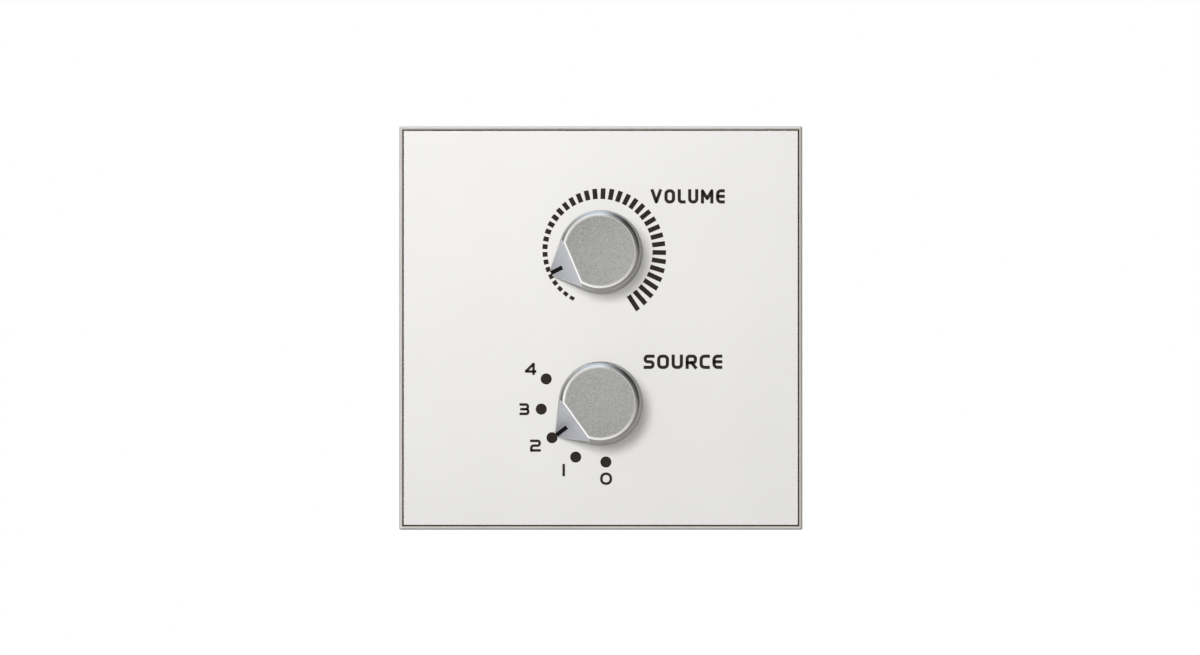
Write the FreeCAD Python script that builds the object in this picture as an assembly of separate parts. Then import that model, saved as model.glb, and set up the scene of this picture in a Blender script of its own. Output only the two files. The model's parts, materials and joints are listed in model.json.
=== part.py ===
import FreeCAD, Part
import math
import os

# A wall plate with two pointer knobs, one above the other: a volume control and a five-way selector.
# Millimetres. The plate's front faces -Y, the wall is the plane y = 0, +X is to the right and +Z is up.
# The origin is the centre of the wall-box screw pattern, on the wall plane.
# Angles on the dials run clockwise as seen from the front, starting from straight down.

V = FreeCAD.Vector
TO_WALL = V(0, 1, 0)
RIGHT = V(1, 0, 0)

# The plate and its rim
plate_side = 80.0
rim_width = 0.65
groove_width = 0.25
rim_proud = 0.2
panel_side = plate_side - 2 * (rim_width + groove_width)
panel_thickness = 2.0
panel_front = -9.0
panel_back = panel_front + panel_thickness
panel_edge = 0.2
skirt_side = 75.8
skirt_wall = 1.4
shaft_hole_radius = 4.0

# The trim frame behind the rim
trim_front = panel_front - rim_proud
trim_wall = 1.6
trim_lip_back = -6.6
trim_edge = 0.25
trim_corner = 0.35
flange_thickness = 1.5
flange_opening = 68.8

# The steel support plate
support_side = 71.0
support_thickness = 1.5
support_front = -support_thickness
support_corner = 4.0
flange_front = support_front - flange_thickness
box_screw_spacing = 60.0
slot_radius = 2.0
slot_length = 6.5

# The panel's snap posts and their grommets
post_x = 22.0
post_z = 16.0
post_radius = 2.0
post_end = 1.0
grommet_radius = 3.0
grommet_flange_radius = 3.9
grommet_lip_radius = 3.4
grommet_flange = 1.0
grommet_end = 1.5
grommet_lip = 0.8

# The two controls, on one upright centre line
shaft_spacing = 30.0
volume_z = shaft_spacing / 2
selector_z = -shaft_spacing / 2
volume_rest = 67.0
selector_first = -5.7
selector_step = 30.0
selector_positions = 5
selector_rest = selector_first + 2 * selector_step
selector_last = selector_first + (selector_positions - 1) * selector_step
stop_play = 0.3

# The printed scales, which sit a fraction of a millimetre off the shafts
print_shift_x = -0.15
volume_print_rise = 0.15
selector_print_rise = 0.06
ink = 0.05
tick_count = 38
tick_pitch = 8.0
first_tick = 31.0
tick_circle = 10.42
tick_width = 0.95
tick_first_length = 0.72
tick_growth = 2.72
tick_sway = 0.15
dot_circle = 11.71
dot_radius = 1.1

# The knobs: a round body drawn out to a pointed nose
knob_radius = 8.35
knob_height = 14.5
knob_gap = 0.6
knob_base = panel_front - knob_gap
knob_top = knob_base - knob_height
wall_draft = 0.4
shoulder = 0.8
shoulder_drop = 0.65
knob_shoulder = knob_top + shoulder_drop
tip_radius = 10.65
tip_half_width = 0.7
tip_height = 2.0
chord_radius = 5.9
rim_fillet = 0.42
nose_fillet = 0.15
knob_wall = 1.2
inner_tip_radius = 9.2
knob_ceiling = knob_top + 1.5
socket_radius = 5.3
socket_depth = 5.6
line_width = 0.85
line_start = 8.15
line_depth = 0.3
nose_angle = math.asin(knob_radius / math.hypot(tip_half_width, tip_radius)) - math.atan(
    tip_half_width / tip_radius
)

# The hub inside each knob
hub_radius = 4.4
hub_mouth = knob_base - 0.6
hub_bore_end = knob_ceiling + 1.3
hub_bore_radius = 3.02
hub_flat = 1.85
hub_rib = 0.8
hub_rib_reach = 6.3
grip_half_width = 1.8
grip_thickness = 0.3
grip_front = -20.5
grip_back = -12.5

# The shafts
shaft_radius = 3.0
shaft_front = -21.0
shaft_flat = 1.5
shaft_flat_end = hub_mouth + 0.2
shaft_step = 2.95
clip_groove_radius = 2.3
clip_front = 2.1
clip_back = 2.7
clip_radius = 4.2
clip_mouth = 3.8
spigot_radius = 2.5
spigot_flat = 2.0

# The bodies of the two controls
bushing_radius = 3.5
bushing_front = -5.6
bushing_bore = 3.05
bushing_hole_radius = 3.6
disc_radius = 8.2
disc_back = 2.0
cover_radius = 8.6
cover_front = 0.4
cover_back = 9.4
cover_lip_radius = 7.4
wafer_front = 7.4
wafer_back = 9.0
wafer_radius = 8.1
key_x = 6.4
key_width = 1.0
key_height = 2.0
key_front = -1.2
key_play = 0.1
nut_across_flats = 10.0
nut_thickness = 2.0
washer_radius = 6.0
washer_thickness = 0.6

# The rotors, stops and contacts
rotor_front = 3.0
rotor_back = 6.0
rotor_radius = 6.0
lug_back = 4.2
lug_reach = 7.8
tab_radius = 6.3
volume_tab_half = 15.0
selector_lug_half = 10.0
selector_tab_half = 8.0
notch_count = 12
notch_circle = 6.4
notch_radius = 0.9
contact_thickness = 0.2
contact_gap = 0.05
film = 0.1
ring_inner = 2.6
ring_outer = 3.6
track_inner = 4.2
track_outer = 5.4
track_start = 25.0
finger_radius = 0.35
finger_circle = 4.8
ring_finger_circle = 3.1
pad_thickness = 0.2
pad_radius = 0.6
pin_radius = 0.4
common_pin_angle = 234.0

# The volume control's three flat terminals
terminal_pitch = 2.5
terminal_width = 1.2
terminal_thickness = 0.4
terminal_drop = 9.8

# The detent spring, a bow with a round nose that drops into the notches
bow_outer = 7.6
bow_thickness = 0.25
bow_half_angle = 40.0
bow_front = 4.5
bow_back = 5.9
bow_nose_radius = 0.8
bow_neck = 0.5

# The circuit board and what is on it
board_front = 10.0
board_thickness = 1.6
board_back = board_front + board_thickness
board_half_width = 17.0
board_circle = 28.2
pin_end = board_back + 1.0
standoff_x = 13.0
standoff_z = 21.0
standoff_flats = 5.0
spigot_hole_radius = 1.9
board_screw_radius = 1.25
board_screw_length = 5.0
board_screw_head = 2.3
board_screw_head_height = 1.6
board_screw_hole = 1.35
chip_x = 11.5
chip_length = 3.2
chip_width = 1.6
chip_height = 0.6
resistor_rows = (-8.0, -11.0, -14.0)
chip_capacitor_z = 9.5
can_z = 17.0
can_radius = 3.15
can_height = 5.2
can_base_side = 6.6
can_base_height = 0.9

# The terminal header and its plug
poles = 6
pole_pitch = 3.81
header_half_width = 12.6
header_half_depth = 3.7
header_wall = 1.0
header_floor = 1.4
header_back = board_back + 9.2
header_pin_side = 1.0
header_pin_front = 8.8
header_pin_back = 19.0
plug_play = 0.2
plug_half_width = 12.4
plug_half_depth = 5.5
plug_front = header_back + 0.2
plug_back = plug_front + 8.6
socket_chamber = 1.8
leaf_thickness = 0.25
leaf_gap = 0.05
leaf_width = 1.4
clamp_width = 2.8
clamp_depth = 3.6
clamp_length = 3.4
clamp_wall = 0.5
wire_entry = 2.7
clamp_screw_radius = 1.0
clamp_head_radius = 1.25
slot_cut = 0.4


def box(x0, x1, y0, y1, z0, z1):
    return Part.makeBox(x1 - x0, y1 - y0, z1 - z0, V(x0, y0, z0))


def slab(side, y0, y1):
    """A square slab centred on the plate's axis."""
    half = side / 2
    return box(-half, half, y0, y1, -half, half)


def rod(radius, y0, y1, x, z):
    return Part.makeCylinder(radius, y1 - y0, V(x, y0, z), TO_WALL)


def tube(outer, inner, y0, y1, x, z):
    return rod(outer, y0, y1, x, z).cut(rod(inner, y0, y1, x, z))


def hexagon(across_flats, y0, y1, x, z):
    """A hexagonal bar with two flats level."""
    corner = across_flats / math.sqrt(3)
    points = [
        V(x + corner * math.cos(math.radians(60 * k)), y0, z + corner * math.sin(math.radians(60 * k)))
        for k in range(7)
    ]
    return Part.Face(Part.makePolygon(points)).extrude(V(0, y1 - y0, 0))


def clock(angle, radius):
    """A point of the dial: angle clockwise from straight down, as seen from the front."""
    turn = math.radians(angle)
    return -radius * math.sin(turn), -radius * math.cos(turn)


def turned(shape, angle, z):
    """A shape made pointing straight down, turned clockwise about the shaft at height z."""
    done = shape.copy()
    done.rotate(V(0, 0, z), TO_WALL, angle)
    return done


def ring_block(inner, outer, start, end, y0, y1, z):
    """A block of a ring between two dial angles."""
    middle = (start + end) / 2

    def at(angle, radius):
        dx, dz = clock(angle, radius)
        return V(dx, y0, z + dz)

    edges = [
        Part.Arc(at(start, outer), at(middle, outer), at(end, outer)).toShape(),
        Part.makeLine(at(end, outer), at(end, inner)),
        Part.Arc(at(end, inner), at(middle, inner), at(start, inner)).toShape(),
        Part.makeLine(at(start, inner), at(start, outer)),
    ]
    return Part.Face(Part.Wire(edges)).extrude(V(0, y1 - y0, 0))


def joined(shapes):
    return shapes[0].fuse(shapes[1:]).removeSplitter()


def four(x, z):
    """The four places at plus and minus x and z."""
    return [(sx * x, sz * z) for sx in (-1, 1) for sz in (-1, 1)]


def pole_x(index):
    return (index - (poles - 1) / 2) * pole_pitch


def save(name, shape):
    """Writes one sub-part; a list of separate solids becomes one group."""
    if isinstance(shape, list):
        shape = Part.makeCompound(shape)
    solids = shape.Solids
    print(name, "solids", len(solids), "volume %.1f" % sum(s.Volume for s in solids), shape.isValid())
    shape.exportStep("parts/" + name + ".step")


# Plate, panel and frame


def trim_frame():
    """Bright metal frame: a thin front lip, a thicker wall behind it and a flange that the support clamps."""
    outer = slab(plate_side, trim_front, 0)
    along = [e for e in outer.Edges if abs(e.tangentAt(0).y) > 0.9]
    outer = outer.makeFillet(trim_corner, along)
    front = [e for e in outer.Edges if e.BoundBox.YMax < trim_front + 0.01]
    outer = outer.makeFillet(trim_edge, front)
    lip_opening = plate_side - 2 * rim_width
    inside = plate_side - 2 * trim_wall
    outer = outer.cut(slab(lip_opening, trim_front, trim_lip_back))
    outer = outer.cut(slab(inside, trim_lip_back, flange_front))
    outer = outer.cut(slab(flange_opening, flange_front, support_front))
    return outer.cut(slab(inside, support_front, 0))


def front_panel():
    """White moulded panel: front skin, a skirt that rests on the flange and four snap posts."""
    skin = slab(panel_side, panel_front, panel_back)
    front = [e for e in skin.Edges if e.BoundBox.YMax < panel_front + 0.01]
    skin = skin.makeFillet(panel_edge, front)
    skirt = slab(skirt_side, panel_back, flange_front)
    skirt = skirt.cut(slab(skirt_side - 2 * skirt_wall, panel_back, flange_front))
    posts = [rod(post_radius, panel_back, post_end, x, z) for x, z in four(post_x, post_z)]
    panel = joined([skin, skirt] + posts)
    for z in (volume_z, selector_z):
        panel = panel.cut(rod(shaft_hole_radius, panel_front, panel_back, 0, z))
    return panel


def slotted_hole(x, z, along_x):
    """A slot through the support plate, centred at x, z."""
    run = slot_length / 2 - slot_radius
    dx, dz = (run, 0) if along_x else (0, run)
    ends = [rod(slot_radius, support_front, 0, x + s * dx, z + s * dz) for s in (-1, 1)]
    hx, hz = (run, slot_radius) if along_x else (slot_radius, run)
    return joined(ends + [box(x - hx, x + hx, support_front, 0, z - hz, z + hz)])


def support_plate():
    """Zinc-plated steel plate that carries both controls and is screwed to the wall box."""
    plate = slab(support_side, support_front, 0)
    along = [e for e in plate.Edges if abs(e.tangentAt(0).y) > 0.9]
    plate = plate.makeFillet(support_corner, along)
    half = box_screw_spacing / 2
    holes = [slotted_hole(s * half, 0, True) for s in (-1, 1)]
    holes += [slotted_hole(0, s * half, False) for s in (-1, 1)]
    for z in (volume_z, selector_z):
        holes.append(rod(bushing_hole_radius, support_front, 0, 0, z))
        kx = key_width / 2 + key_play
        kz = key_height / 2 + key_play
        holes.append(box(key_x - kx, key_x + kx, support_front, 0, z - kz, z + kz))
    holes += [rod(grommet_radius, support_front, 0, x, z) for x, z in four(post_x, post_z)]
    holes += [rod(spigot_hole_radius, support_front, 0, x, z) for x, z in four(standoff_x, standoff_z)]
    for hole in holes:
        plate = plate.cut(hole)
    return plate


def panel_grommets():
    """Four nylon grommets that grip the panel's posts."""
    made = []
    for x, z in four(post_x, post_z):
        flange = tube(grommet_flange_radius, post_radius, support_front - grommet_flange, support_front, x, z)
        barrel = tube(grommet_radius, post_radius, support_front, grommet_end, x, z)
        lip = tube(grommet_lip_radius, post_radius, 0, grommet_lip, x, z)
        made.append(joined([flange, barrel, lip]))
    return made


# Printed scales


def tick_length(share):
    """Radial length of a tick, by its share of the way round: a slow swell that grows towards the end."""
    return tick_first_length + tick_growth * share - tick_sway * (1 - math.cos(4 * math.pi * share))


def volume_scale():
    """Thirty-eight printed ticks that grow longer as the volume goes up."""
    z = volume_z + volume_print_rise
    ticks = []
    for k in range(tick_count):
        length = tick_length(k / (tick_count - 1))
        half = tick_width / 2
        tick = box(-half, half, panel_front - ink, panel_front, z - tick_circle - length, z - tick_circle)
        tick = turned(tick, first_tick + k * tick_pitch, z)
        tick.translate(V(print_shift_x, 0, 0))
        ticks.append(tick)
    return ticks


def selector_scale():
    """Five printed dots, one for each position."""
    dots = []
    for k in range(selector_positions):
        dx, dz = clock(selector_first + k * selector_step, dot_circle)
        x = print_shift_x + dx
        z = selector_z + selector_print_rise + dz
        dots.append(rod(dot_radius, panel_front - ink, panel_front, x, z))
    return dots


# Knobs


def nose_outline(radius, tip, y, z):
    """The knob's outline at one height: a circle drawn out to a blunt tip that points straight down."""
    half = (radius / math.sin(nose_angle) - tip) * math.tan(nose_angle)
    touch_x = radius * math.cos(nose_angle)
    touch_z = radius * math.sin(nose_angle)
    tip_right = V(half, y, z - tip)
    tip_left = V(-half, y, z - tip)
    right = V(touch_x, y, z - touch_z)
    left = V(-touch_x, y, z - touch_z)
    edges = [
        Part.makeLine(tip_right, right),
        Part.Arc(right, V(0, y, z + radius), left).toShape(),
        Part.makeLine(left, tip_left),
        Part.makeLine(tip_left, tip_right),
    ]
    return Part.Wire(edges)


def facet_point(distance, inset, z):
    """A point on the sloping nose facet's middle line, at a distance from the shaft, sunk by inset."""
    run = tip_radius - chord_radius
    rise = (knob_base - tip_height) - knob_top
    slope = math.hypot(run, rise)
    y = knob_top + (distance - chord_radius) * rise / run
    return V(0, y + inset * run / slope, z - distance + inset * rise / slope)


def facet_prism(start, end, outside, inset, half_width, z):
    """A bar along the facet between two distances from the shaft, from outside it to inset below it."""
    corners = [
        facet_point(start, inset, z),
        facet_point(end, inset, z),
        facet_point(end, -outside, z),
        facet_point(start, -outside, z),
    ]
    corners.append(corners[0])
    face = Part.Face(Part.makePolygon(corners))
    face.translate(V(-half_width, 0, 0))
    return face.extrude(RIGHT * (2 * half_width))


def on_facet(point, z):
    """Whether a point lies on the nose's sloping facet."""
    along = facet_point(tip_radius, 0, z) - facet_point(chord_radius, 0, z)
    normal = V(0, along.z, -along.y)
    return abs((point - facet_point(chord_radius, 0, z)).dot(normal)) < 0.02 * along.Length


def knob_block(z):
    """The knob's outer form, solid: drafted wall, sloping shoulder, flat top and the facet of the nose."""
    sections = [
        nose_outline(knob_radius, tip_radius, knob_base, z),
        nose_outline(knob_radius - wall_draft, tip_radius - wall_draft, knob_shoulder, z),
        nose_outline(knob_radius - wall_draft - shoulder, tip_radius - wall_draft - shoulder, knob_top, z),
    ]
    block = Part.makeLoft(sections, True, True)
    block = block.cut(facet_prism(0, 20, 20, 0, 12, z))
    top = [e for e in block.Edges if e.BoundBox.YMax < knob_top + 0.01]
    block = block.makeFillet(rim_fillet, top)
    sides = [e for e in block.Edges if on_facet(e.CenterOfMass, z) and e.Length > 2 * tip_half_width + 1]
    return block.makeFillet(nose_fillet, [e for e in sides if abs(e.CenterOfMass.x) > tip_half_width])


def knob_hollow(z):
    """The space inside the knob's shell."""
    sections = [
        nose_outline(knob_radius - knob_wall, inner_tip_radius, knob_base, z),
        nose_outline(knob_radius - knob_wall - wall_draft, inner_tip_radius - wall_draft, knob_ceiling, z),
    ]
    return Part.makeLoft(sections, True, True).cut(facet_prism(0, 20, 20, knob_wall, 12, z))


def knob_line(z):
    """The black line let into the nose."""
    bar = facet_prism(line_start, tip_radius + 1, 1, line_depth, line_width / 2, z)
    return bar.common(knob_block(z))


def knob(z):
    """Silver moulded shell with a socket ring for the hub and a groove for the line."""
    shell = knob_block(z).cut(knob_hollow(z))
    socket = tube(socket_radius, hub_radius, knob_ceiling, knob_ceiling + socket_depth, 0, z)
    return joined([shell, socket]).cut(knob_line(z))


def knob_hub(z):
    """Moulded hub with a D bore and three short ribs, pressed into the shell's socket."""
    parts = [rod(hub_radius, knob_ceiling, hub_mouth, 0, z)]
    rib_front = knob_ceiling + socket_depth
    half = hub_rib / 2
    for angle in (90, 180, 270):
        rib = box(-half, half, rib_front, hub_mouth, z - hub_rib_reach, z)
        parts.append(turned(rib, angle, z))
    hub = joined(parts)
    bore = rod(hub_bore_radius, hub_bore_end, hub_mouth, 0, z)
    reach = hub_bore_radius + 1
    bore = bore.cut(box(-reach, reach, hub_bore_end, hub_mouth, z - reach, z - hub_flat))
    return hub.cut(bore)


def knob_grip(z):
    """Flat steel leaf between the shaft's flat and the hub."""
    back = z - shaft_flat
    return box(-grip_half_width, grip_half_width, grip_front, grip_back, back - grip_thickness, back)


# Shafts, bushings and bodies


def shaft(z):
    """Six-millimetre shaft with a flat for the knob, a clip groove and a keyed end for the rotor."""
    body = rod(shaft_radius, shaft_front, shaft_step, 0, z)
    body = body.cut(tube(shaft_radius + 1, clip_groove_radius, clip_front, clip_back, 0, z))
    reach = shaft_radius + 1
    body = body.cut(box(-reach, reach, shaft_front, shaft_flat_end, z - reach, z - shaft_flat))
    spigot = rod(spigot_radius, shaft_step, rotor_back, 0, z)
    spigot = spigot.cut(box(-reach, reach, shaft_step, rotor_back, z - reach, z - spigot_flat))
    return joined([body, spigot])


def shaft_clip(z):
    """Open spring ring in the shaft's groove."""
    ring = tube(clip_radius, clip_groove_radius, clip_front, clip_back, 0, z)
    half = clip_mouth / 2
    return ring.cut(box(-half, half, clip_front, clip_back, z, z + clip_radius + 1))


def bushing(z, tabs):
    """Threaded bushing with its mounting disc, a key against turning and the fixed stop tabs."""
    parts = [
        rod(bushing_radius, bushing_front, 0, 0, z),
        rod(cover_radius, 0, cover_front, 0, z),
        rod(disc_radius, cover_front, disc_back, 0, z),
    ]
    kx = key_width / 2
    kz = key_height / 2
    parts.append(box(key_x - kx, key_x + kx, key_front, 0, z - kz, z + kz))
    for start, end in tabs:
        parts.append(ring_block(tab_radius, disc_radius, start, end, disc_back, lug_back, z))
    return joined(parts).cut(rod(bushing_bore, bushing_front, disc_back, 0, z))


def cover(z, mouth):
    """Drawn steel can round the mechanism, open at the back behind a lip."""
    can = tube(cover_radius, disc_radius, cover_front, cover_back, 0, z)
    lip = tube(disc_radius, cover_lip_radius, wafer_back, cover_back, 0, z)
    can = joined([can, lip])
    return can.cut(mouth) if mouth else can


def terminal_mouth(z):
    """The gap in the volume control's can where its terminals come out."""
    half = terminal_pitch + terminal_width / 2 + 0.3
    return box(-half, half, wafer_front - terminal_thickness - 0.3, wafer_front + 0.3, z - 9, z - 6)


def washer(z):
    back = support_front
    return tube(washer_radius, bushing_hole_radius, back - washer_thickness, back, 0, z)


def nut(z):
    back = support_front - washer_thickness
    body = hexagon(nut_across_flats, back - nut_thickness, back, 0, z)
    return body.cut(rod(bushing_radius, back - nut_thickness, back, 0, z))


# Inside the volume control


def volume_rotor(z):
    """Moulded disc with one stop lug, keyed on the shaft."""
    half = volume_tab_half - stop_play
    disc = rod(rotor_radius, rotor_front, rotor_back, 0, z)
    lug = ring_block(rotor_radius - 1, lug_reach, -half, half, rotor_front, lug_back, z)
    return joined([disc, lug]).cut(shaft(z))


def moving_contact(z, reach):
    """Spring contact on the back of a rotor: a ring, an arm and two fingers that reach back."""
    y0 = rotor_back
    y1 = rotor_back + contact_thickness
    ring = tube(ring_outer, ring_inner, y0, y1, 0, z)
    arm = box(-finger_radius, finger_radius, y0, y1, z - finger_circle - finger_radius, z - ring_inner - 0.2)
    fingers = [rod(finger_radius, y0, reach, 0, z - r) for r in (ring_finger_circle, finger_circle)]
    return joined([ring, arm] + fingers)


def volume_track(z):
    """Printed carbon track and the collector ring inside it."""
    y0 = wafer_front - film
    track = ring_block(track_inner, track_outer, track_start, 360 - track_start, y0, wafer_front, z)
    collector = tube(ring_outer, ring_inner, y0, wafer_front, 0, z)
    return [track, collector]


def volume_terminals(z):
    """Three flat terminals: across the wafer, out of the can and back to the board."""
    made = []
    half = terminal_width / 2
    y0 = wafer_front - terminal_thickness
    for place in (-1, 0, 1):
        x = place * terminal_pitch
        top = z - ring_outer - 0.05 if place == 0 else z - track_outer * math.cos(math.radians(track_start))
        across = box(x - half, x + half, y0, wafer_front, z - terminal_drop, top)
        foot = z - terminal_drop + terminal_thickness
        back = box(x - half, x + half, wafer_front, pin_end, z - terminal_drop, foot)
        made.append(joined([across, back]))
    return made


def wafer(z):
    """Phenolic disc that carries the fixed contacts."""
    return rod(wafer_radius, wafer_front, wafer_back, 0, z)


# Inside the selector


def selector_rotor(z):
    """Detent wheel with twelve notches and one stop lug, made with a notch straight up at rest."""
    half = selector_lug_half - stop_play
    wheel = rod(rotor_radius, rotor_front, rotor_back, 0, z)
    lug = ring_block(rotor_radius - 1, lug_reach, -half, half, rotor_front, lug_back, z)
    for k in range(notch_count):
        dx, dz = clock(180 - selector_rest + k * 360 / notch_count, notch_circle)
        wheel = wheel.cut(rod(notch_radius, rotor_front, rotor_back, dx, z + dz))
    return joined([wheel, lug]).cut(shaft(z))


def detent_spring(z):
    """Bow spring above the wheel; its ends bear on the can and its nose lies in a notch."""
    up = 180
    inner = bow_outer - bow_thickness
    bow = ring_block(inner, bow_outer, up - bow_half_angle, up + bow_half_angle, bow_front, bow_back, z)
    nose_z = z + notch_circle
    nose = rod(bow_nose_radius, bow_front, bow_back, 0, nose_z)
    half = bow_neck / 2
    neck = box(-half, half, bow_front, bow_back, nose_z, z + inner + bow_thickness / 2)
    feet = []
    for side in (-1, 1):
        end = up + side * bow_half_angle
        edges = sorted((end, end - side * 3))
        feet.append(ring_block(inner, disc_radius, edges[0], edges[1], bow_front, bow_back, z))
    return joined([bow, nose, neck] + feet)


def contact_pin(angle, radius, z):
    dx, dz = clock(angle, radius)
    return rod(pin_radius, wafer_front, pin_end, dx, z + dz)


def selector_contacts(z):
    """Five fixed contacts: a flat head on the wafer and a pin back to the board."""
    made = []
    for k in range(selector_positions):
        angle = selector_first + k * selector_step
        dx, dz = clock(angle, finger_circle)
        head = rod(pad_radius, wafer_front - pad_thickness, wafer_front, dx, z + dz)
        made.append(joined([head, contact_pin(angle, finger_circle, z)]))
    return made


def selector_common(z):
    """The common ring and its pin."""
    ring = tube(ring_outer, ring_inner, wafer_front - pad_thickness, wafer_front, 0, z)
    return joined([ring, contact_pin(common_pin_angle, ring_finger_circle, z)])


def selector_wafer(z):
    disc = wafer(z)
    for shape in selector_contacts(z) + [selector_common(z)]:
        disc = disc.cut(shape)
    return disc


# Circuit board and what is on it


def circuit_board():
    """Board cut to pass into a round wall box, drilled for every pin and screw."""
    board = rod(board_circle, board_front, board_back, 0, 0)
    reach = board_circle + 1
    board = board.common(box(-board_half_width, board_half_width, board_front, board_back, -reach, reach))
    drilled = [(x, z, board_screw_hole) for x, z in four(standoff_x, standoff_z)]
    terminal_z = volume_z - terminal_drop + terminal_thickness / 2
    drilled += [(k * terminal_pitch, terminal_z, 0.75) for k in (-1, 0, 1)]
    drilled += [(pole_x(k), 0, 0.8) for k in range(poles)]
    for k in range(selector_positions):
        dx, dz = clock(selector_first + k * selector_step, finger_circle)
        drilled.append((dx, selector_z + dz, 0.55))
    dx, dz = clock(common_pin_angle, ring_finger_circle)
    drilled.append((dx, selector_z + dz, 0.55))
    for x, z, radius in drilled:
        board = board.cut(rod(radius, board_front, board_back, x, z))
    return board


def board_standoffs():
    """Hexagonal pillars riveted into the support plate, tapped at the back."""
    made = []
    for x, z in four(standoff_x, standoff_z):
        pillar = hexagon(standoff_flats, 0, board_front, x, z)
        spigot = rod(spigot_hole_radius, support_front, 0, x, z)
        tapped = rod(board_screw_radius, board_front - board_screw_length, board_front, x, z)
        made.append(joined([pillar, spigot]).cut(tapped))
    return made


def board_screws():
    """Pan-head screws with a cross recess."""
    made = []
    head_back = board_back + board_screw_head_height
    for x, z in four(standoff_x, standoff_z):
        shank = rod(board_screw_radius, board_front - board_screw_length, board_back, x, z)
        head = rod(board_screw_head, board_back, head_back, x, z)
        edge = [e for e in head.Edges if e.BoundBox.YMin > head_back - 0.01]
        head = head.makeFillet(board_screw_head_height / 2, edge)
        screw = joined([shank, head])
        arm = board_screw_head * 0.55
        half = slot_cut / 2
        recess = head_back - 0.9
        screw = screw.cut(box(x - arm, x + arm, recess, head_back, z - half, z + half))
        screw = screw.cut(box(x - half, x + half, recess, head_back, z - arm, z + arm))
        made.append(screw)
    return made


def chip(x, z):
    hx = chip_length / 2
    hz = chip_width / 2
    return box(x - hx, x + hx, board_back, board_back + chip_height, z - hz, z + hz)


def chip_resistors():
    """The ladder that gives each selector position its own resistance."""
    return [chip(s * chip_x, z) for s in (-1, 1) for z in resistor_rows]


def chip_capacitors():
    return [chip(s * chip_x, chip_capacitor_z) for s in (-1, 1)]


def filter_capacitor_base():
    half = can_base_side / 2
    base = box(-half, half, board_back, board_back + can_base_height, can_z - half, can_z + half)
    cut_corners = [e for e in base.Edges if abs(e.tangentAt(0).y) > 0.9 and e.BoundBox.ZMin > can_z]
    return base.makeChamfer(1.0, cut_corners)


def filter_capacitor_can():
    front = board_back + can_base_height
    can = rod(can_radius, front, front + can_height, 0, can_z)
    edge = [e for e in can.Edges if e.BoundBox.YMin > front + can_height - 0.01]
    return can.makeFillet(0.5, edge)


def terminal_header():
    """Shrouded header, open towards the back."""
    body = box(
        -header_half_width, header_half_width, board_back, header_back, -header_half_depth, header_half_depth
    )
    inner_x = header_half_width - header_wall
    inner_z = header_half_depth - header_wall
    body = body.cut(box(-inner_x, inner_x, board_back + header_floor, header_back, -inner_z, inner_z))
    for k in range(poles):
        body = body.cut(square_bar(pole_x(k), header_pin_side, board_back, board_back + header_floor))
    return body


def square_bar(x, side, y0, y1):
    half = side / 2
    return box(x - half, x + half, y0, y1, -half, half)


def header_pins():
    pins = []
    for k in range(poles):
        pin = square_bar(pole_x(k), header_pin_side, header_pin_front, header_pin_back)
        tip = [e for e in pin.Edges if e.BoundBox.YMin > header_pin_back - 0.01]
        pins.append(pin.makeChamfer(0.25, tip))
    return pins


def clamp_middle():
    """Depth of the wire clamps' middle, in the plug's wide part."""
    return plug_front + 4.6


def terminal_plug():
    """Plug with a chamber, a clamp pocket, a screw hole and a wire entry for each pole."""
    inner_x = header_half_width - header_wall - plug_play
    inner_z = header_half_depth - header_wall - plug_play
    nose_front = board_back + header_floor + plug_play
    nose = box(-inner_x, inner_x, nose_front, plug_front, -inner_z, inner_z)
    body = box(-plug_half_width, plug_half_width, plug_front, plug_back, -plug_half_depth, plug_half_depth)
    plug = joined([nose, body])
    for k in range(poles):
        x = pole_x(k)
        plug = plug.cut(square_bar(x, socket_chamber, nose_front, clamp_middle()))
        plug = plug.cut(clamp_block(x))
        plug = plug.cut(square_bar(x, wire_entry, clamp_middle(), plug_back))
        plug = plug.cut(screw_hole(x))
    return plug


def clamp_block(x):
    hx = clamp_width / 2
    hy = clamp_length / 2
    hz = clamp_depth / 2
    return box(x - hx, x + hx, clamp_middle() - hy, clamp_middle() + hy, -hz, hz)


def screw_hole(x):
    return Part.makeCylinder(
        clamp_head_radius + 0.05, plug_half_depth, V(x, clamp_middle(), 0), V(0, 0, 1)
    )


def plug_clamps():
    """Small metal cages that lift against the wire."""
    made = []
    for k in range(poles):
        x = pole_x(k)
        side = clamp_width - 2 * clamp_wall
        cage = clamp_block(x).cut(square_bar(x, side, plug_front, plug_back))
        top = Part.makeCylinder(clamp_screw_radius, clamp_depth, V(x, clamp_middle(), 0), V(0, 0, 1))
        made.append(cage.cut(top))
    return made


def plug_screws():
    """Slotted screws that press down into the cages."""
    made = []
    for k in range(poles):
        x = pole_x(k)
        at = V(x, clamp_middle(), 0.4)
        shank = Part.makeCylinder(clamp_screw_radius, plug_half_depth - 1.6, at, V(0, 0, 1))
        head_foot = plug_half_depth - 1.8
        head = Part.makeCylinder(clamp_head_radius, 1.4, V(x, clamp_middle(), head_foot), V(0, 0, 1))
        half = slot_cut / 2
        y = clamp_middle()
        slot = box(x - 2, x + 2, y - half, y + half, head_foot + 0.8, head_foot + 1.4)
        made.append(joined([shank, head]).cut(slot))
    return made


def plug_contacts():
    """Two spring leaves per pole that close on the header's pin, joined by a bridge behind it."""
    made = []
    hx = leaf_width / 2
    near = header_pin_side / 2 + leaf_gap
    far = near + leaf_thickness
    front = board_back + header_floor + plug_play + 0.4
    bridge_front = header_pin_back + 0.3
    bridge_back = bridge_front + 0.5
    for k in range(poles):
        x = pole_x(k)
        leaves = [
            box(x - hx, x + hx, front, bridge_back, near, far),
            box(x - hx, x + hx, front, bridge_back, -far, -near),
            box(x - hx, x + hx, bridge_front, bridge_back, -far, far),
        ]
        made.append(joined(leaves))
    return made


os.makedirs("parts", exist_ok=True)

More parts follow.
